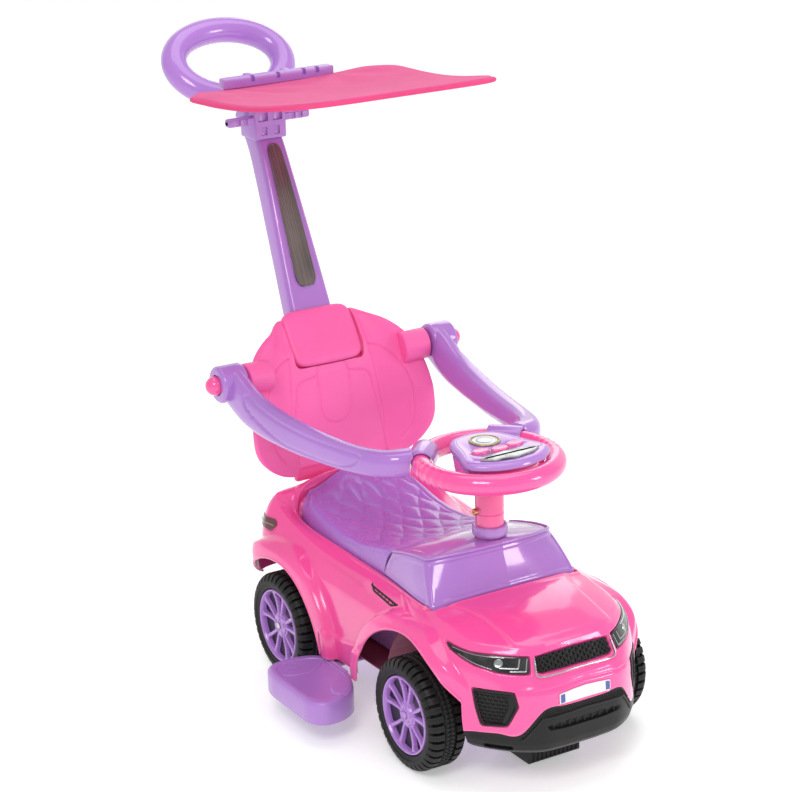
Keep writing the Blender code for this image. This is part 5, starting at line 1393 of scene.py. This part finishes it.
for sgn in (-1, 1):
    adds.append(rod("boss", (sgn * .1120, ax_ + .0040, az_ - .002), (sgn * .1530, ax_, az_), round_ends(.0232, .0412, .0034, True, True, 6), SATIN, 72))
POLE = [(.3700, .4310, .0345, .0192), (.3865, .4700, .0345, .0200),
        (.4152, .5350, .0315, .0205), (.4447, .6000, .0280, .0212), (.4726, .6600, .0245, .0222),
        (.4970, .7080, .0225, .0220), (.5230, .7400, .0215, .0205), (.5430, .7560, .0215, .0190)]


def pole_keys(n, grow=0.0, lo=0, hi=8):
    k = np.array(POLE[lo:hi])
    p = spline(k, n)
    return p


def pole_at(z, k):
    return np.interp(z, [q[1] for q in POLE], [q[k] for q in POLE])


def pole_sweep(name, n, grow, mat, lo=0, hi=8, chan=0.0, e=5.0, k=56, ext=0.0):
    p = pole_keys(n, 0, lo, hi)
    path = np.column_stack([np.zeros(n), p[:, 0], p[:, 1]])
    if ext:
        d0, d1 = unit(path[0] - path[1]), unit(path[-1] - path[-2])
        path = np.concatenate([[path[0] + d0 * ext], path, [path[-1] + d1 * ext]])
        p = np.concatenate([p[:1], p, p[-1:]])
    secs = []
    for y, z, a_, b_ in p:
        se = superellipse(a_ + grow, b_ + grow, k, e, math.pi / k)      # (x, side)
        x, s_ = se[:, 0], se[:, 1]
        if chan:
            inside = ss(.80, .70, np.abs(x) / a_) * (s_ < 0)
            s_ = s_ + chan * inside * ss(.46, .50, z)
            groove = np.exp(-((np.abs(x) / a_ - .80) / .035) ** 2) * (s_ > 0)
            s_ = s_ - .0010 * groove
        secs.append(np.stack([s_, x], 1))
    return sweep(name, path, np.array(secs), mat, up=(1, 0, 0))


socket = sweep("socket", spline([(0, .3500, .3650), (0, .3580, .4000), (0, .3700, .4300), (0, .3865, .4700)], 24),
               np.stack([superellipse(.026, .041, 48, 5.0, math.pi / 48)] * 24), SATIN, up=(1, 0, 0))
foot = rbox("foot", (-.0780, .2985, .2475), (.0780, .3085, .2720), .0035, SATIN, 3)
for o_ in adds + [socket, foot]:
    back = boolean(back, o_, "UNION")
back = boolean(back, pole_sweep("room", 40, .0010, SATIN, 0, 3, ext=.002))
back = boolean(back, [rod("bore", (sgn * .1300, *ARM_PIVOT), (sgn * .1700, *ARM_PIVOT), round_ends(.0062, .04, 0, False, False), SATIN, 40) for sgn in (-1, 1)])
rows2 = np.array([[((W_ + .0007) * u, .3205 + .70 * (z - .4208) - .0410, z + .0287) for u in (-1, 1)]
                  for W_, z in [(.0500, .4150)] + [tuple(v) for v in spline([(.0530, .4158), (.0575, .4230), (.0585, .4500), (.0570, .4780), (.0520, .4925)], 24)]])
back = boolean(back, closed_pad("pad_room", rows2, rows2 + [0, .0547, -.0383], SATIN))
put(back, "car", "backrest")

HEAD = [(.0530, .4165), (.0575, .4230), (.0585, .4500), (.0570, .4780), (.0500, .4875)]
hz = np.array(HEAD)
hl = np.column_stack([hz[:, 0], (hz[:, 1] - .4165) * 1.2207])
hl = np.concatenate([hl, (hl * [-1, 1])[::-1]])
hq = superellipse(.0580, hl[:, 1].max() * .5 + .0003, 150, 6.5)
hl = hq * np.column_stack([1 - .05 * (hq[:, 1] / .043) ** 2, np.ones(len(hq))]) + [0, hl[:, 1].max() * .5]
HT, HN = np.array([0, .5735, .8192]), np.array([0, -.8192, .5735])
ho = np.array([0, .3205 + .70 * (.4165 - .4208), .4165])
V = []
lv = [(-.0138, .0016), (-.0128, .0004), (-.0110, 0), (-.0060, 0), (-.0040, .0006), (-.0022, .0020), (-.0009, .0042), (-.0001, .0072),
      (.0004, .0105), (.0007, .80), (.0010, .60), (.0012, .35), (.0013, .12)]
for h_, i_ in lv:
    q = inset(hl, i_) if i_ < .1 else hl.mean(0) + (inset(hl, .0105) - hl.mean(0)) * i_
    V.append(ho + np.column_stack([q[:, 0], 0 * q[:, 0], 0 * q[:, 0]]) + q[:, 1:] * HT + HN * h_)
m, n = len(hl), len(lv)
headp = make("headrest", np.array(V), grid_faces(n, m, cm=True) + [list(range(m))[::-1], [(n - 1) * m + j for j in range(m)]], SATIN, angle=60)
headp = boolean(headp, pole_sweep("room", 40, .0010, SATIN, 0, 3, ext=.002))
put(headp, "car", "headrest_pad")

# ================================================================ pole, plate, handle ring, clamp
pole = pole_sweep("pole", 150, 0.0, LILAC, chan=.0016)
nh = 180
th = np.arange(nh) * 2 * math.pi / nh
hu = .0890 * np.cos(th) * (1 + .05 * np.sin(th))
hv = .0620 * np.sin(th)
ring2 = np.stack([hu, .6030 + hv * math.sin(.785), .8150 + hv * math.cos(.785)], 1)
HUP = (0, -math.cos(.785), math.sin(.785))
pole = boolean(pole, sweep("ring_room", ring2, circle(.0199, 30), LILAC, up=HUP, closed=True))
put(pole, "car", "push_pole")
sec = circle(1.0, 34)
hsec = np.zeros((nh, 34, 2))
for i, q_ in enumerate(th):
    r = np.full(34, .0195)
    r = r - .0007 * np.exp(-(sec[:, 0] / .05) ** 2)                   # parting line top and bottom
    under = np.clip(-np.cos(0), 0, 1)
    hsec[i] = sec * r[:, None]
put(sweep("handle", ring2, hsec, LILAC, up=HUP, closed=True), "car", "handle_ring")


def on_pole(x, z, off):
    x, z, off = np.broadcast_arrays(np.asarray(x, float), np.asarray(z, float), np.asarray(off, float))
    o = pole_at(z, 3) + off
    return np.stack([x, pole_at(z, 0) - .907 * o, z + .42 * o], -1)


def pole_badge(name, loop, levels, mat, rings=5):
    loop = even(loop, 120, closed=True)
    rows_ = [on_pole(*inset(loop, i_).T, o_) for i_, o_ in levels]
    last_ = inset(loop, levels[-1][0])
    c_ = last_.mean(0)
    for k_ in range(1, rings):
        q = np.column_stack([last_[:, 0] * (1 - k_ / rings), last_[:, 1]])
        rows_.append(on_pole(*q.T, levels[-1][1]))
    m = len(loop)
    n = len(rows_)
    V = np.array(rows_).reshape(-1, 3)
    F = grid_faces(n, m, cm=True) + [list(range(m))[::-1]]
    # the last ring lies on the middle line; its halves are stitched by the weld
    return make(name, V, F, mat, angle=34, weld=2e-5)


zs = np.array([.5065, .512, .520, .545, .60, .65, .690, .699, .7040])
ws_ = np.interp(zs, [.505, .512, .52, .60, .69, .699, .704], [.0070, .0140, .0165, .0150, .0115, .0095, .0050])
half_ = np.column_stack([ws_, zs])
pll = np.concatenate([half_, (half_ * [-1, 1])[::-1]])
pll = even(loop_spline(pll, 300), 120, closed=True)
lv = [(.0006, -.0019), (.0002, .0010), (.0004, .0019), (.0010, .0024), (.0018, .0024), (.0022, .0019), (.0030, .0019)]
V, F = [], []
m = 120
for i_, o_ in lv:
    V.append(on_pole(*inset(pll, i_).T, o_))
n = len(lv)
F = grid_faces(n, m, cm=True)
zz = pll[:, 1]
inn = inset(pll, lv[-1][0])
base = inset(pll, lv[0][0])
F += [list(range(m))[::-1]]
# middle of the face: strips between the two halves of the outline
order = [(n - 1) * m + j for j in range(m)]
for k in range(m // 2 - 1):
    aidx, bidx = k, k + 1
    F.append([order[k], order[k + 1], order[m - 2 - k], order[m - 1 - k]])
plate_ = make("pole_face", np.array(V), F, SMOKE, angle=34)
put(plate_, "car", "pole_plate")

bar_ = rbox("bar", (-.0680, .4800, .7440), (.0680, .4950, .7560), .0035, LILAC_SOFT, 4)
block = rbox("block", (-.0265, .4781, .7441), (.0265, .4969, .7860), .0030, LILAC_SOFT, 4)
coll_ = rbox("collar", (-.0264, .4782, .7200), (.0264, .5250, .7500), .0025, LILAC_SOFT, 3)
clamp = boolean(bar_, block, "UNION")
clamp = boolean(clamp, coll_, "UNION")
clamp = boolean(clamp, pole_sweep("way", 60, .0004, LILAC_SOFT, 4, 8, ext=.004))
clamp = boolean(clamp, [rbox("w", (-.0200, .4740, .7475), (-.0040, .4825, .7790), .0010, LILAC_SOFT, 2),
                        rbox("w", (.0040, .4740, .7475), (.0200, .4825, .7790), .0010, LILAC_SOFT, 2)])
clamp = boolean(clamp, [rbox("w", (-.0150, .4740, .7265), (-.0060, .4806, .7390), .0008, LILAC_SOFT, 2),
                        rbox("w", (.0060, .4740, .7265), (.0150, .4806, .7390), .0008, LILAC_SOFT, 2)])
clamp = boolean(clamp, rod("bore", (-.06, .4880, .7780), (.06, .4880, .7780), round_ends(.0034, .12, 0, False, False), LILAC_SOFT, 30))
knobs = [rod("end", (sgn * .0655, .4875, .7500), (sgn * .0680, .4875, .7500), round_ends(.0052, .0025, .0010, True, True), LILAC_SOFT, 30) for sgn in (-1, 1)]
clamp = boolean(clamp, [rbox("n", (x - .0035, .4785, .7405), (x + .0035, .4822, .7545), .0005, LILAC_SOFT, 1) for x in (-.052, -.040, .040, .052)])
put(joined("clamp", [clamp] + knobs, LILAC_SOFT), "car", "canopy_bracket")

xb = rbox("xbar", (-.0910, .4425, .8095), (.0910, .4605, .8250), .0028, LILAC_SOFT, 4)
for sgn in (-1, 1):
    ck = prism("cheek", rounded([(.4715, .7700), (.4950, .7700), (.4950, .8211), (.4715, .8211)], 40, .0060) - [.4832, .7955],
               [(sgn * .0310 - .0035, .4832, .7955), (sgn * .0310 + .0035, .4832, .7955)], (0, 1, 0), (0, 0, 1), LILAC_SOFT)
    xb = boolean(xb, ck, "UNION")
    xb = boolean(xb, rbox("link", (sgn * .0310 - .0034, .4500, .8139), (sgn * .0310 + .0034, .4900, .8207), .0010, LILAC_SOFT, 2), "UNION")
xb = boolean(xb, [rod("bore", (-.06, .4880, .7780), (.06, .4880, .7780), round_ends(.0034, .12, 0, False, False), LILAC_SOFT, 30)]
             + [rbox("n", (x - .0030, .4415, .8165), (x + .0030, .4500, .8270), .0004, LILAC_SOFT, 1) for x in (-.0440, -.0020, .0410, .0630)])
put(xb, "canopy", "canopy_crossbar")

# ================================================================ guard arms
ARM = [(.1705, .3140, .4210, .0150, .0280), (.1700, .2900, .4090, .0155, .0295), (.1685, .2560, .3950, .0155, .0285),
       (.1650, .2150, .3860, .0155, .0260), (.1590, .1700, .3810, .0155, .0238), (.1510, .1200, .3780, .0155, .0218),
       (.1430, .0700, .3775, .0155, .0200), (.1345, .0250, .3785, .0155, .0190), (.1225, -.0120, .3810, .0165, .0185),
       (.1070, -.0330, .3830, .0175, .0185), (.0860, -.0420, .3840, .0180, .0190)]
RING_CLEAR = RING_TUBE + .0014
MOUTH = RING_CLEAR + .0004
na = 230
ak = even(spline(ARM, 500), na)
line = loop_spline([(.246, .4175), (.252, .410), (.241, .396), (.197, .3775), (.154, .3655), (.100, .3640), (.050, .3650), (.018, .3725),
                    (.002, .383), (.001, .3925), (.030, .3930), (.080, .3925), (.130, .3945), (.180, .4005), (.220, .4090)], 160)
for sgn, tag in ((1, "left"), (-1, "right")):
    path = ak[:, :3] * [sgn, 1, 1]
    T, S, U = frames(path, False, (0, 0, 1))
    k = 84
    secs = np.array([superellipse(a_, b_, k, 2.6, math.pi / k) for a_, b_ in ak[:, 3:]])
    P = path[:, None] + S[:, None] * secs[..., :1] + U[:, None] * secs[..., 1:]
    outw = np.sign(S[:, 0] * sgn)[:, None] * secs[..., 0] > 0
    dq = np.abs(sdf(line, P[..., 1], P[..., 2]))
    g = np.exp(-(dq / .0014) ** 2) * outw * (P[..., 1] > -.004)
    inn = ss(.0005, -.0020, sdf(line, P[..., 1], P[..., 2])) * outw
    nrm = unit(P - path[:, None])
    P = P - nrm * (.0024 * g + .0022 * inn)[..., None]
    # round the front end
    endc = path[-1]
    ring_last = P[-1]
    tdir = T[-1]
    rings_ = [P]
    for q_ in (.35, .65, .88, .98):
        sc = math.sqrt(1 - q_ * q_)
        rings_.append((endc + (ring_last - endc) * sc + tdir * .0040 * q_)[None])
    V = np.concatenate(rings_)
    n, m = V.shape[:2]
    arm = make("arm", V, grid_faces(n, m, cm=True) + [list(range(m)), [(n - 1) * m + j for j in range(m)][::-1]], LILAC, angle=42)
    eye = rod("eye", (sgn * .1556, *ARM_PIVOT), (sgn * .1965, *ARM_PIVOT), round_ends(.0270, .0409, .0055, True, True, 8), LILAC, 96)
    arm = boolean(arm, eye, "UNION")
    a_ = math.radians(48)
    cx, cyy = RING_R * math.sin(a_), COLUMN_Y + RING_R * math.cos(a_)
    tx, tyy = math.cos(a_), -math.sin(a_)
    sad = rod("saddle", (sgn * (cx - tx * .024), cyy - tyy * .024, RING_Z), (sgn * (cx + tx * .024), cyy + tyy * .024, RING_Z),
              round_ends(.0195, .048, .0022, True, True, 5), LILAC, 72)
    arm = boolean(arm, sad, "UNION")
    arm = boolean(arm, torus(RING_CLEAR, 120, 24))
    q_ = np.arange(120) * 2 * math.pi / 120
    rp = np.stack([RING_R * np.cos(q_), COLUMN_Y + RING_R * np.sin(q_), np.full(120, RING_Z)], 1)
    arm = boolean(arm, sweep("mouth", rp, [(-MOUTH, -.045), (MOUTH, -.045), (MOUTH, .0030), (-MOUTH, .0030)], LILAC, up=(0, 0, 1), closed=True))
    arm = boolean(arm, rod("bore", (sgn * .1400, *ARM_PIVOT), (sgn * .2000, *ARM_PIVOT), round_ends(.0060, .06, 0, False, False), LILAC, 40))
    arm = boolean(arm, rod("cup", (sgn * .1878, *ARM_PIVOT), (sgn * .2040, *ARM_PIVOT), round_ends(.0152, .0162, 0, False, False), LILAC, 72))
    put(arm, "arm_" + tag, "guard_arm_" + tag)
    prof = [(0, .0048), (.0008, .0056), (.0550, .0056), (.0550, .0088), (.0554, .0096)]
    for q_ in np.linspace(math.acos(-.72), .12, 16):
        prof.append((.0655 - .0140 * math.cos(math.pi - q_) * -1 * -1, .0140 * math.sin(q_)))
    prof = sorted(prof, key=lambda v: v[0])
    prof[-1] = (prof[-1][0], max(prof[-1][1], .0008))
    put(rod("pivot_knob_" + tag, (sgn * .1335, *ARM_PIVOT), (sgn * .2300, *ARM_PIVOT), prof, PINK, 56), "car", "arm_pin_" + tag)

# ================================================================ wheels
NL = 38
steps = []
for k in range(NL):
    for f in (.02, .16, .20, .46, .52, .66, .70, .96):
        steps.append((k + f) * 2 * math.pi / NL)
steps = np.array(steps)
hpro = [(.0552, .0236), (.0556, .0250), (.0580, .0262), (.0605, .0268), (.0625, .0279), (.0640, .0281), (.0655, .0280), (.0672, .0277), (.0690, .0271),
        (.0708, .0263), (.0726, .0253), (.0742, .0240), (.0757, .0222), (.0767, .0203), (.0773, .0185), (.0775, .0165), (.0775, .0140),
        (.0775, .0112), (.0775, .0098), (.0775, .0090), (.0775, .0082), (.0775, .0076), (.0775, .0050), (.0775, .0025), (.0775, .0010)]
tpro = hpro + [(r, -h_) for r, h_ in reversed(hpro)]


def lugs(th, R, H):
    """Shoulder lugs, two grooves and a finely ribbed middle band."""
    ah = np.abs(H)
    ph = (th * NL / (2 * math.pi) + np.where(H > 0, 0, .5)) % 1
    gap_ = ((ph > .68) & (ph < .985)).astype(float)
    zone = ((ah > .0092) | (R < .0770)) & (R > .0660)
    sh = zone * gap_
    fade = ss(.0655, .0700, R)
    dr = -.0054 * sh * fade * (R > .0725)
    dh = -np.sign(H) * .0028 * sh * fade * (R <= .0770)
    groove = ((ah > .0074) & (ah < .0094)).astype(float)
    dr = dr - .0034 * groove
    ph2 = (th * NL * 2 / (2 * math.pi)) % 1
    mid = (ah < .0074).astype(float)
    dr = dr - .0013 * mid * ((ph2 > .55) & (ph2 < .97))
    dr = dr - .0018 * (ah < .0012)
    rim_ring = np.exp(-((R - .0610) / .0008) ** 2)
    dh = dh - np.sign(H) * .0006 * rim_ring
    return dr, dh


SP = []
NSP, NTH = 5, 300
RR = np.concatenate([[.0048, .0052, .0060], np.linspace(.0070, .0170, 12), np.linspace(.0178, .0490, 34), [.0497]])
TH = np.arange(NTH) * 2 * math.pi / NTH
for tag, sx, y in (("front_left", 1, AXLE_F), ("front_right", -1, AXLE_F), ("rear_left", 1, AXLE_R), ("rear_right", -1, AXLE_R)):
    c_ = (sx * TRACK, y, HUB_Z)
    short = "wheel_" + {"front_left": "fl", "front_right": "fr", "rear_left": "rl", "rear_right": "rr"}[tag]
    put(lathe("tread_" + tag, tpro, c_, TYRE, "X", steps, lugs, flip=sx, angle=28), short, "tyre_" + tag)
    rimp = [(.0538, .0250), (.0541, .0240), (.0541, -.0236), (.0537, -.0240), (.0504, -.0240), (.0500, -.0236), (.0500, -.0060), (.0490, .0150), (.0493, .0215), (.0500, .0232),
            (.0508, .0250), (.0516, .0260), (.0525, .0262), (.0533, .0258)]
    rim = lathe("barrel", rimp, c_, LILAC, "X", 120, flip=sx)
    A = TH[:, None] + 0 * RR[None]
    R_ = RR[None] + 0 * A
    H = np.full(A.shape, -.0020) + .0030 * ss(.020, .048, R_)
    ang = (A + math.pi / 10) % (2 * math.pi / NSP) - math.pi / NSP
    for off in (-1, 1):
        centre = off * (.215 + .055 * ss(.018, .049, R_))
        lat = np.abs((ang - centre) * R_)
        wid = .0027 + .0007 * ss(.016, .045, R_) + .0030 * ss(.0450, .0500, R_) ** 2
        sp = ss(wid + .0010, wid - .0006, lat)
        H = np.maximum(H, -.0020 + sp * (.0235 + .0016 * ss(.036, .049, R_) - .0012 * np.minimum(lat / wid, 1) ** 2))
    root = ss(.0205, .0185, R_)
    H = np.maximum(H, -.0020 + root * .0222)
    hubr = ss(.0168, .0152, R_)
    H = H + hubr * (.0225 - H) * ss(.0165, .0150, R_) * .85
    for k in range(5):
        bx, by = .0122 * math.cos(k * 2 * math.pi / 5 + .3), .0122 * math.sin(k * 2 * math.pi / 5 + .3)
        dd = np.hypot(R_ * np.cos(A) - bx, R_ * np.sin(A) - by)
        H = H + .0012 * ss(.0026, .0018, dd) - .0008 * np.exp(-((dd - .0030) / .0005) ** 2)
    H = H + .0010 * ss(.0084, .0072, R_) - .0012 * ss(.0058, .0052, R_)
    H = np.minimum(H, .0238)
    face_d = disc("face", RR, H, NTH, c_, LILAC, flip=sx, back=-.0024)
    bore_ = .0050
    sleeve = lathe("sleeve", [(bore_, -.0220), (.0140, -.0220), (.0145, -.0215), (.0155, -.0050), (.0150, -.0040), (bore_, -.0040)], c_, LILAC, "X", 60, flip=sx)
    put(joined("spoked_rim_" + tag, [rim, face_d, sleeve], LILAC), short, "rim_" + tag)
    # painted shade: a near-black lilac web set low in the spoke gaps darkens the bottoms of the gap walls
    web = [(.0190, .0150), (.0260, .0152), (.0340, .0156), (.0420, .0160), (.0484, .0164), (.0488, .0172), (.0496, .0172), (.0496, .0140), (.0340, .0132), (.0190, .0130)]
    put(lathe("rim_shade_web_" + tag, web, c_, LILAC_SHADED, "X", 120, flip=sx), short, "rim_" + tag)

# ================================================================ footrests and stop block
STEP = [(.1500, .0300), (.1640, -.0040), (.1790, -.0270), (.2020, -.0390), (.2270, -.0390), (.2400, -.0290),
        (.2455, -.0140), (.2455, .0870), (.2390, .1100), (.2240, .1200), (.1900, .1212), (.1680, .1140), (.1500, .1000)]
for sgn, tag in ((1, "left"), (-1, "right")):
    lp = rounded(np.array(STEP), 160, .012)
    if sgn < 0:
        lp = (lp * [-1, 1])[::-1]
    levels = [(.0330, .0012), (.0332, .0004), (.0338, 0), (.0600, 0), (.0628, .0005), (.0645, .0016), (.0655, .0030), (.0659, .0042), (.0660, .0050)]
    st = stack("step", lp, levels, LILAC_SOFT)
    hollow = stack("hollow", inset(lp, .0038), [(.0200, 0), (.0605, 0), (.0612, .0010)], LILAC_SOFT)
    st = boolean(st, hollow)
    mid_ = (lp.max(0) + lp.min(0)) / 2
    panel = stack("panel", mid_ + (lp - mid_) * [.80, .84], [(.0647, .0012), (.0649, .0005), (.0654, 0), (.0664, -.0007)], LILAC_SOFT)
    st = boolean(st, panel)
    yt = .0505 if sgn > 0 else .0782
    tongue_ = rbox("tongue", (min(sgn * .0200, sgn * .1560), yt - .0110, .0585), (max(sgn * .0200, sgn * .1560), yt + .0110, .0620), .0006, LILAC_SOFT, 2)
    webs = [rbox("web", (min(sgn * .1560, sgn * .2400), y_ - .0010, .0400), (max(sgn * .1560, sgn * .2400), y_ + .0010, .0615), 0, LILAC_SOFT) for y_ in (.000, .035, .085)]
    webs = [boolean(wb, stack("trim", inset(lp, .0030), [(.02, 0), (.07, 0)], LILAC_SOFT), "INTERSECT") for wb in webs]
    arc_ = spline([(.1660, .0830, 0), (.1800, .0700, 0), (.1980, .0640, 0), (.2180, .0660, 0), (.2310, .0760, 0)], 60)
    arc_ = np.column_stack([arc_[:, 0] * sgn, arc_[:, 1], np.full(len(arc_), .0648)])
    webs.append(tube("ridge", arc_, .0009, LILAC_SOFT, 10))
    collar_ = rbox("flange", (min(sgn * .1512, sgn * .1560), .0340, .0560), (max(sgn * .1512, sgn * .1560), .0960, .0668), .0010, LILAC_SOFT, 2)
    webs.append(collar_)
    cor = rounded(np.array([(.1600, .0150), (.1680, -.0020), (.1800, -.0190), (.1960, -.0240), (.2040, -.0170), (.1990, .0020), (.1860, .0170), (.1700, .0220)]), 90, .008)
    if sgn < 0:
        cor = (cor * [-1, 1])[::-1]
    webs.append(stack("corner", cor, [(.0600, 0), (.0655, 0), (.0663, .0006), (.0667, .0016), (.0668, .0028)], LILAC_SOFT))
    put(joined("foot_step_" + tag, [st, tongue_] + webs, LILAC_SOFT), "step_" + tag, "footrest_" + tag)

lo_ = rbox("lo", (-.0415, -.2480, .0100), (.0415, -.1800, .0300), .0018, BLACK, 3)
hi_ = rbox("hi", (-.0415, -.2410, .0280), (.0415, -.1801, .0457), .0014, BLACK, 2)
ribs_ = [rbox("rb", (x - .0012, -.2480, .0130), (x + .0012, -.2460, .0285), .0004, BLACK, 1) for x in np.arange(-.034, .0341, .0068)]
blk = boolean(lo_, hi_, "UNION")
blk = boolean(blk, [rbox("sl", (x - .0020, -.2490, .0130), (x + .0020, -.2466, .0270), .0004, BLACK, 1) for x in np.arange(-.034, .0341, .0068)])
for o_ in ribs_:
    drop(o_)
put(blk, "car", "front_stop_block")

# ================================================================ sun canopy
def canopy_pt(u, v, sag=True):
    x, yy = u * .1740, .4570 - .3850 * v
    z = .8080 + .0490 * v - .0030 * np.sin(math.pi * np.clip(v, 0, 1))
    return np.stack([x, yy, z], -1)


def canopy_uv(n, scale):
    t = np.arange(n) * 2 * math.pi / n
    c, s = np.cos(t), np.sin(t)
    return np.sign(c) * np.abs(c) ** .4 * scale, .5 - np.sign(s) * np.abs(s) ** .4 * scale / 2


ncan = 240
rings = np.r_[.988, .982, .975, .966, .955, np.linspace(.94, 0, 44)]
CP = []


def ripple(u, v):
    """The far edge rises past the bar, dips, and lifts again at its corner."""
    far = ss(.10, 1.0, u)
    near = ss(.10, 1.0, -u)
    return far * (.0080 * np.exp(-((v - .12) / .24) ** 2) - .0030 * np.exp(-((v - .62) / .22) ** 2)) \
        + near * (-.0030 * np.exp(-((v - .62) / .25) ** 2) + .0020 * np.exp(-((v - .20) / .15) ** 2))


for sc in rings:
    base_u, base_v = canopy_uv(2000, 1.0)
    uv = even(np.column_stack([base_u, (base_v - .5) * 2 * 1.1]), ncan, closed=True)
    u, v = uv[:, 0] * sc, .5 + uv[:, 1] / 2.2 * sc
    p = canopy_pt(u, v)
    r = sc
    p[:, 2] += ripple(u, v) - .0046 * ss(.955, .986, r)
    fall = (1 - r ** 3)
    p[:, 2] += -.0062 * fall * np.cos(u * math.pi / 2) * (.6 + .4 * np.sin(v * math.pi))
    # slack between the bar and the sides, with pulls running from the bar's ends
    for sx in (-1, 1):
        du, dv = (u - sx * .50) * .174, (v - .02) * .385
        dist = np.hypot(du, dv)
        ang = np.arctan2(dv, sx * du + 1e-9)
        p[:, 2] += .0011 * np.sin(ang * 9 + sx) * np.exp(-((dist - .085) / .055) ** 2) * ss(1.0, .93, r)
    p[:, 2] += .0022 * np.exp(-((np.abs(u) - .80) / .13) ** 2 - ((v - .12) / .16) ** 2) * ss(1.0, .96, r)
    p[:, 2] += .0010 * np.sin(u * 7.0 + v * 3.0) * np.sin(v * 9.0) * fall
    CP.append(p)
CP = np.array(CP)
V = np.concatenate([CP[:-1].reshape(-1, 3), [CP[-1].mean(0)]]) + [0, 0, .0006]
n, m = len(CP) - 1, ncan
F = grid_faces(n, m, cm=True) + [[(n - 1) * m + (j + 1) % m, (n - 1) * m + j, n * m] for j in range(m)]
cloth = make("canopy_sheet", V, F, CANVAS, angle=60)
cloth = thick(cloth, .0012, -1.0, 60)
put(cloth, "canopy", "canopy_fabric")
wu, wv2 = canopy_uv(2000, .975)
wuv = even(np.column_stack([wu, wv2 * 2.2]), 260, closed=True)
wu, wv2 = wuv[:, 0], wuv[:, 1] / 2.2
wire = canopy_pt(wu, wv2) - [0, 0, .0052]
wire[:, 2] += ripple(wu, wv2)
hem = sweep("canopy_binding", wire + [0, 0, .0006], superellipse(.0040, .0031, 22, 2.2), BINDING, up=(0, 0, 1), closed=True)
put(hem, "canopy", ())
put(tube("wire", wire, .0016, STEEL, 16, closed=True), "canopy", "canopy_wire")
put(rod("pivot_pin", (-.0390, .4880, .7780), (.0390, .4880, .7780), round_ends(.0030, .0780, .0008), STEEL, 32), "car", "canopy_pivot_pin")

# ================================================================ what stays as it was packed
# the arch liner takes the pink darkened with painted shade for the shadow inside the arches
KEEP = {"arch_liner": PINK_SHADED, "chassis": LILAC_SOFT, "rear_axle": STEEL, "steering_shaft": STEEL, "tie_rod": STEEL,
        "knuckle_left": LILAC_SOFT, "knuckle_right": LILAC_SOFT, "storage_tray": LILAC_SOFT}
for name, mat in KEEP.items():
    for slot_ in frame["nodes"][name].material_slots:
        slot_.material = mat

# ================================================================ floor and light
fm, fnt, fb = nodes_of("studio_floor")
fco = fnt.nodes.new("ShaderNodeTexCoord").outputs["Object"]
fn = noise(fnt, fco, 3.0, 4.0)
fnt.links.new(mixed(fnt, ranged(fnt, fn, 0, 1), (.90, .90, .90), (.93, .93, .93)), fb.inputs["Base Color"])
fnt.links.new(ranged(fnt, fn, .55, .65), fb.inputs["Roughness"])
fb.inputs["Specular IOR Level"].default_value = .15
fb.inputs["Emission Color"].default_value = (1, 1, 1, 1)
fb.inputs["Emission Strength"].default_value = .34
bm = bmesh.new()
prof = [(-9, 0), (5, 0)] + [(5 + 2.5 * math.sin(a_), 2.5 - 2.5 * math.cos(a_)) for a_ in np.linspace(.1, math.pi / 2, 12)] + [(7.5, 7)]
rows_ = [[bm.verts.new((x, y, z)) for x in (-12, 12)] for y, z in prof]
for r0, r1_ in zip(rows_, rows_[1:]):
    bm.faces.new((r0[0], r0[1], r1_[1], r1_[0]))
me = bpy.data.meshes.new("studio")
bm.to_mesh(me)
bm.free()
me.materials.append(fm)
me.shade_smooth()
floor = bpy.data.objects.new("studio", me)
SCENE.collection.objects.link(floor)
turn = Matrix.Rotation(-.5356, 4, "Z")
floor.data.transform(turn)

world = bpy.data.worlds.new("studio")
world.use_nodes = True
world.node_tree.nodes["Background"].inputs["Color"].default_value = (1, 1, 1, 1)
world.node_tree.nodes["Background"].inputs["Strength"].default_value = .60
SCENE.world = world


def softbox(name, at, to, w_, h_, power):
    li = bpy.data.lights.new(name, "AREA")
    li.shape = "RECTANGLE"
    li.size, li.size_y, li.energy = w_, h_, power
    ob = bpy.data.objects.new(name, li)
    SCENE.collection.objects.link(ob)
    ob.matrix_world = Matrix.Translation(at) @ (Vector(to) - Vector(at)).to_track_quat("-Z", "Y").to_matrix().to_4x4()
    return ob


softbox("top", (.3, .2, 2.9), (0, -.1, .3), 2.0, 2.0, 20)
softbox("key", (-1.5, -1.7, 2.2), (0, -.2, .2), 1.0, 1.0, 26)
softbox("window", (1.55, -2.15, 1.05), (0, -.35, .25), .55, .85, 13)
softbox("back", (1.6, 1.9, 1.7), (0, 0, .4), 1.0, 1.4, 6)
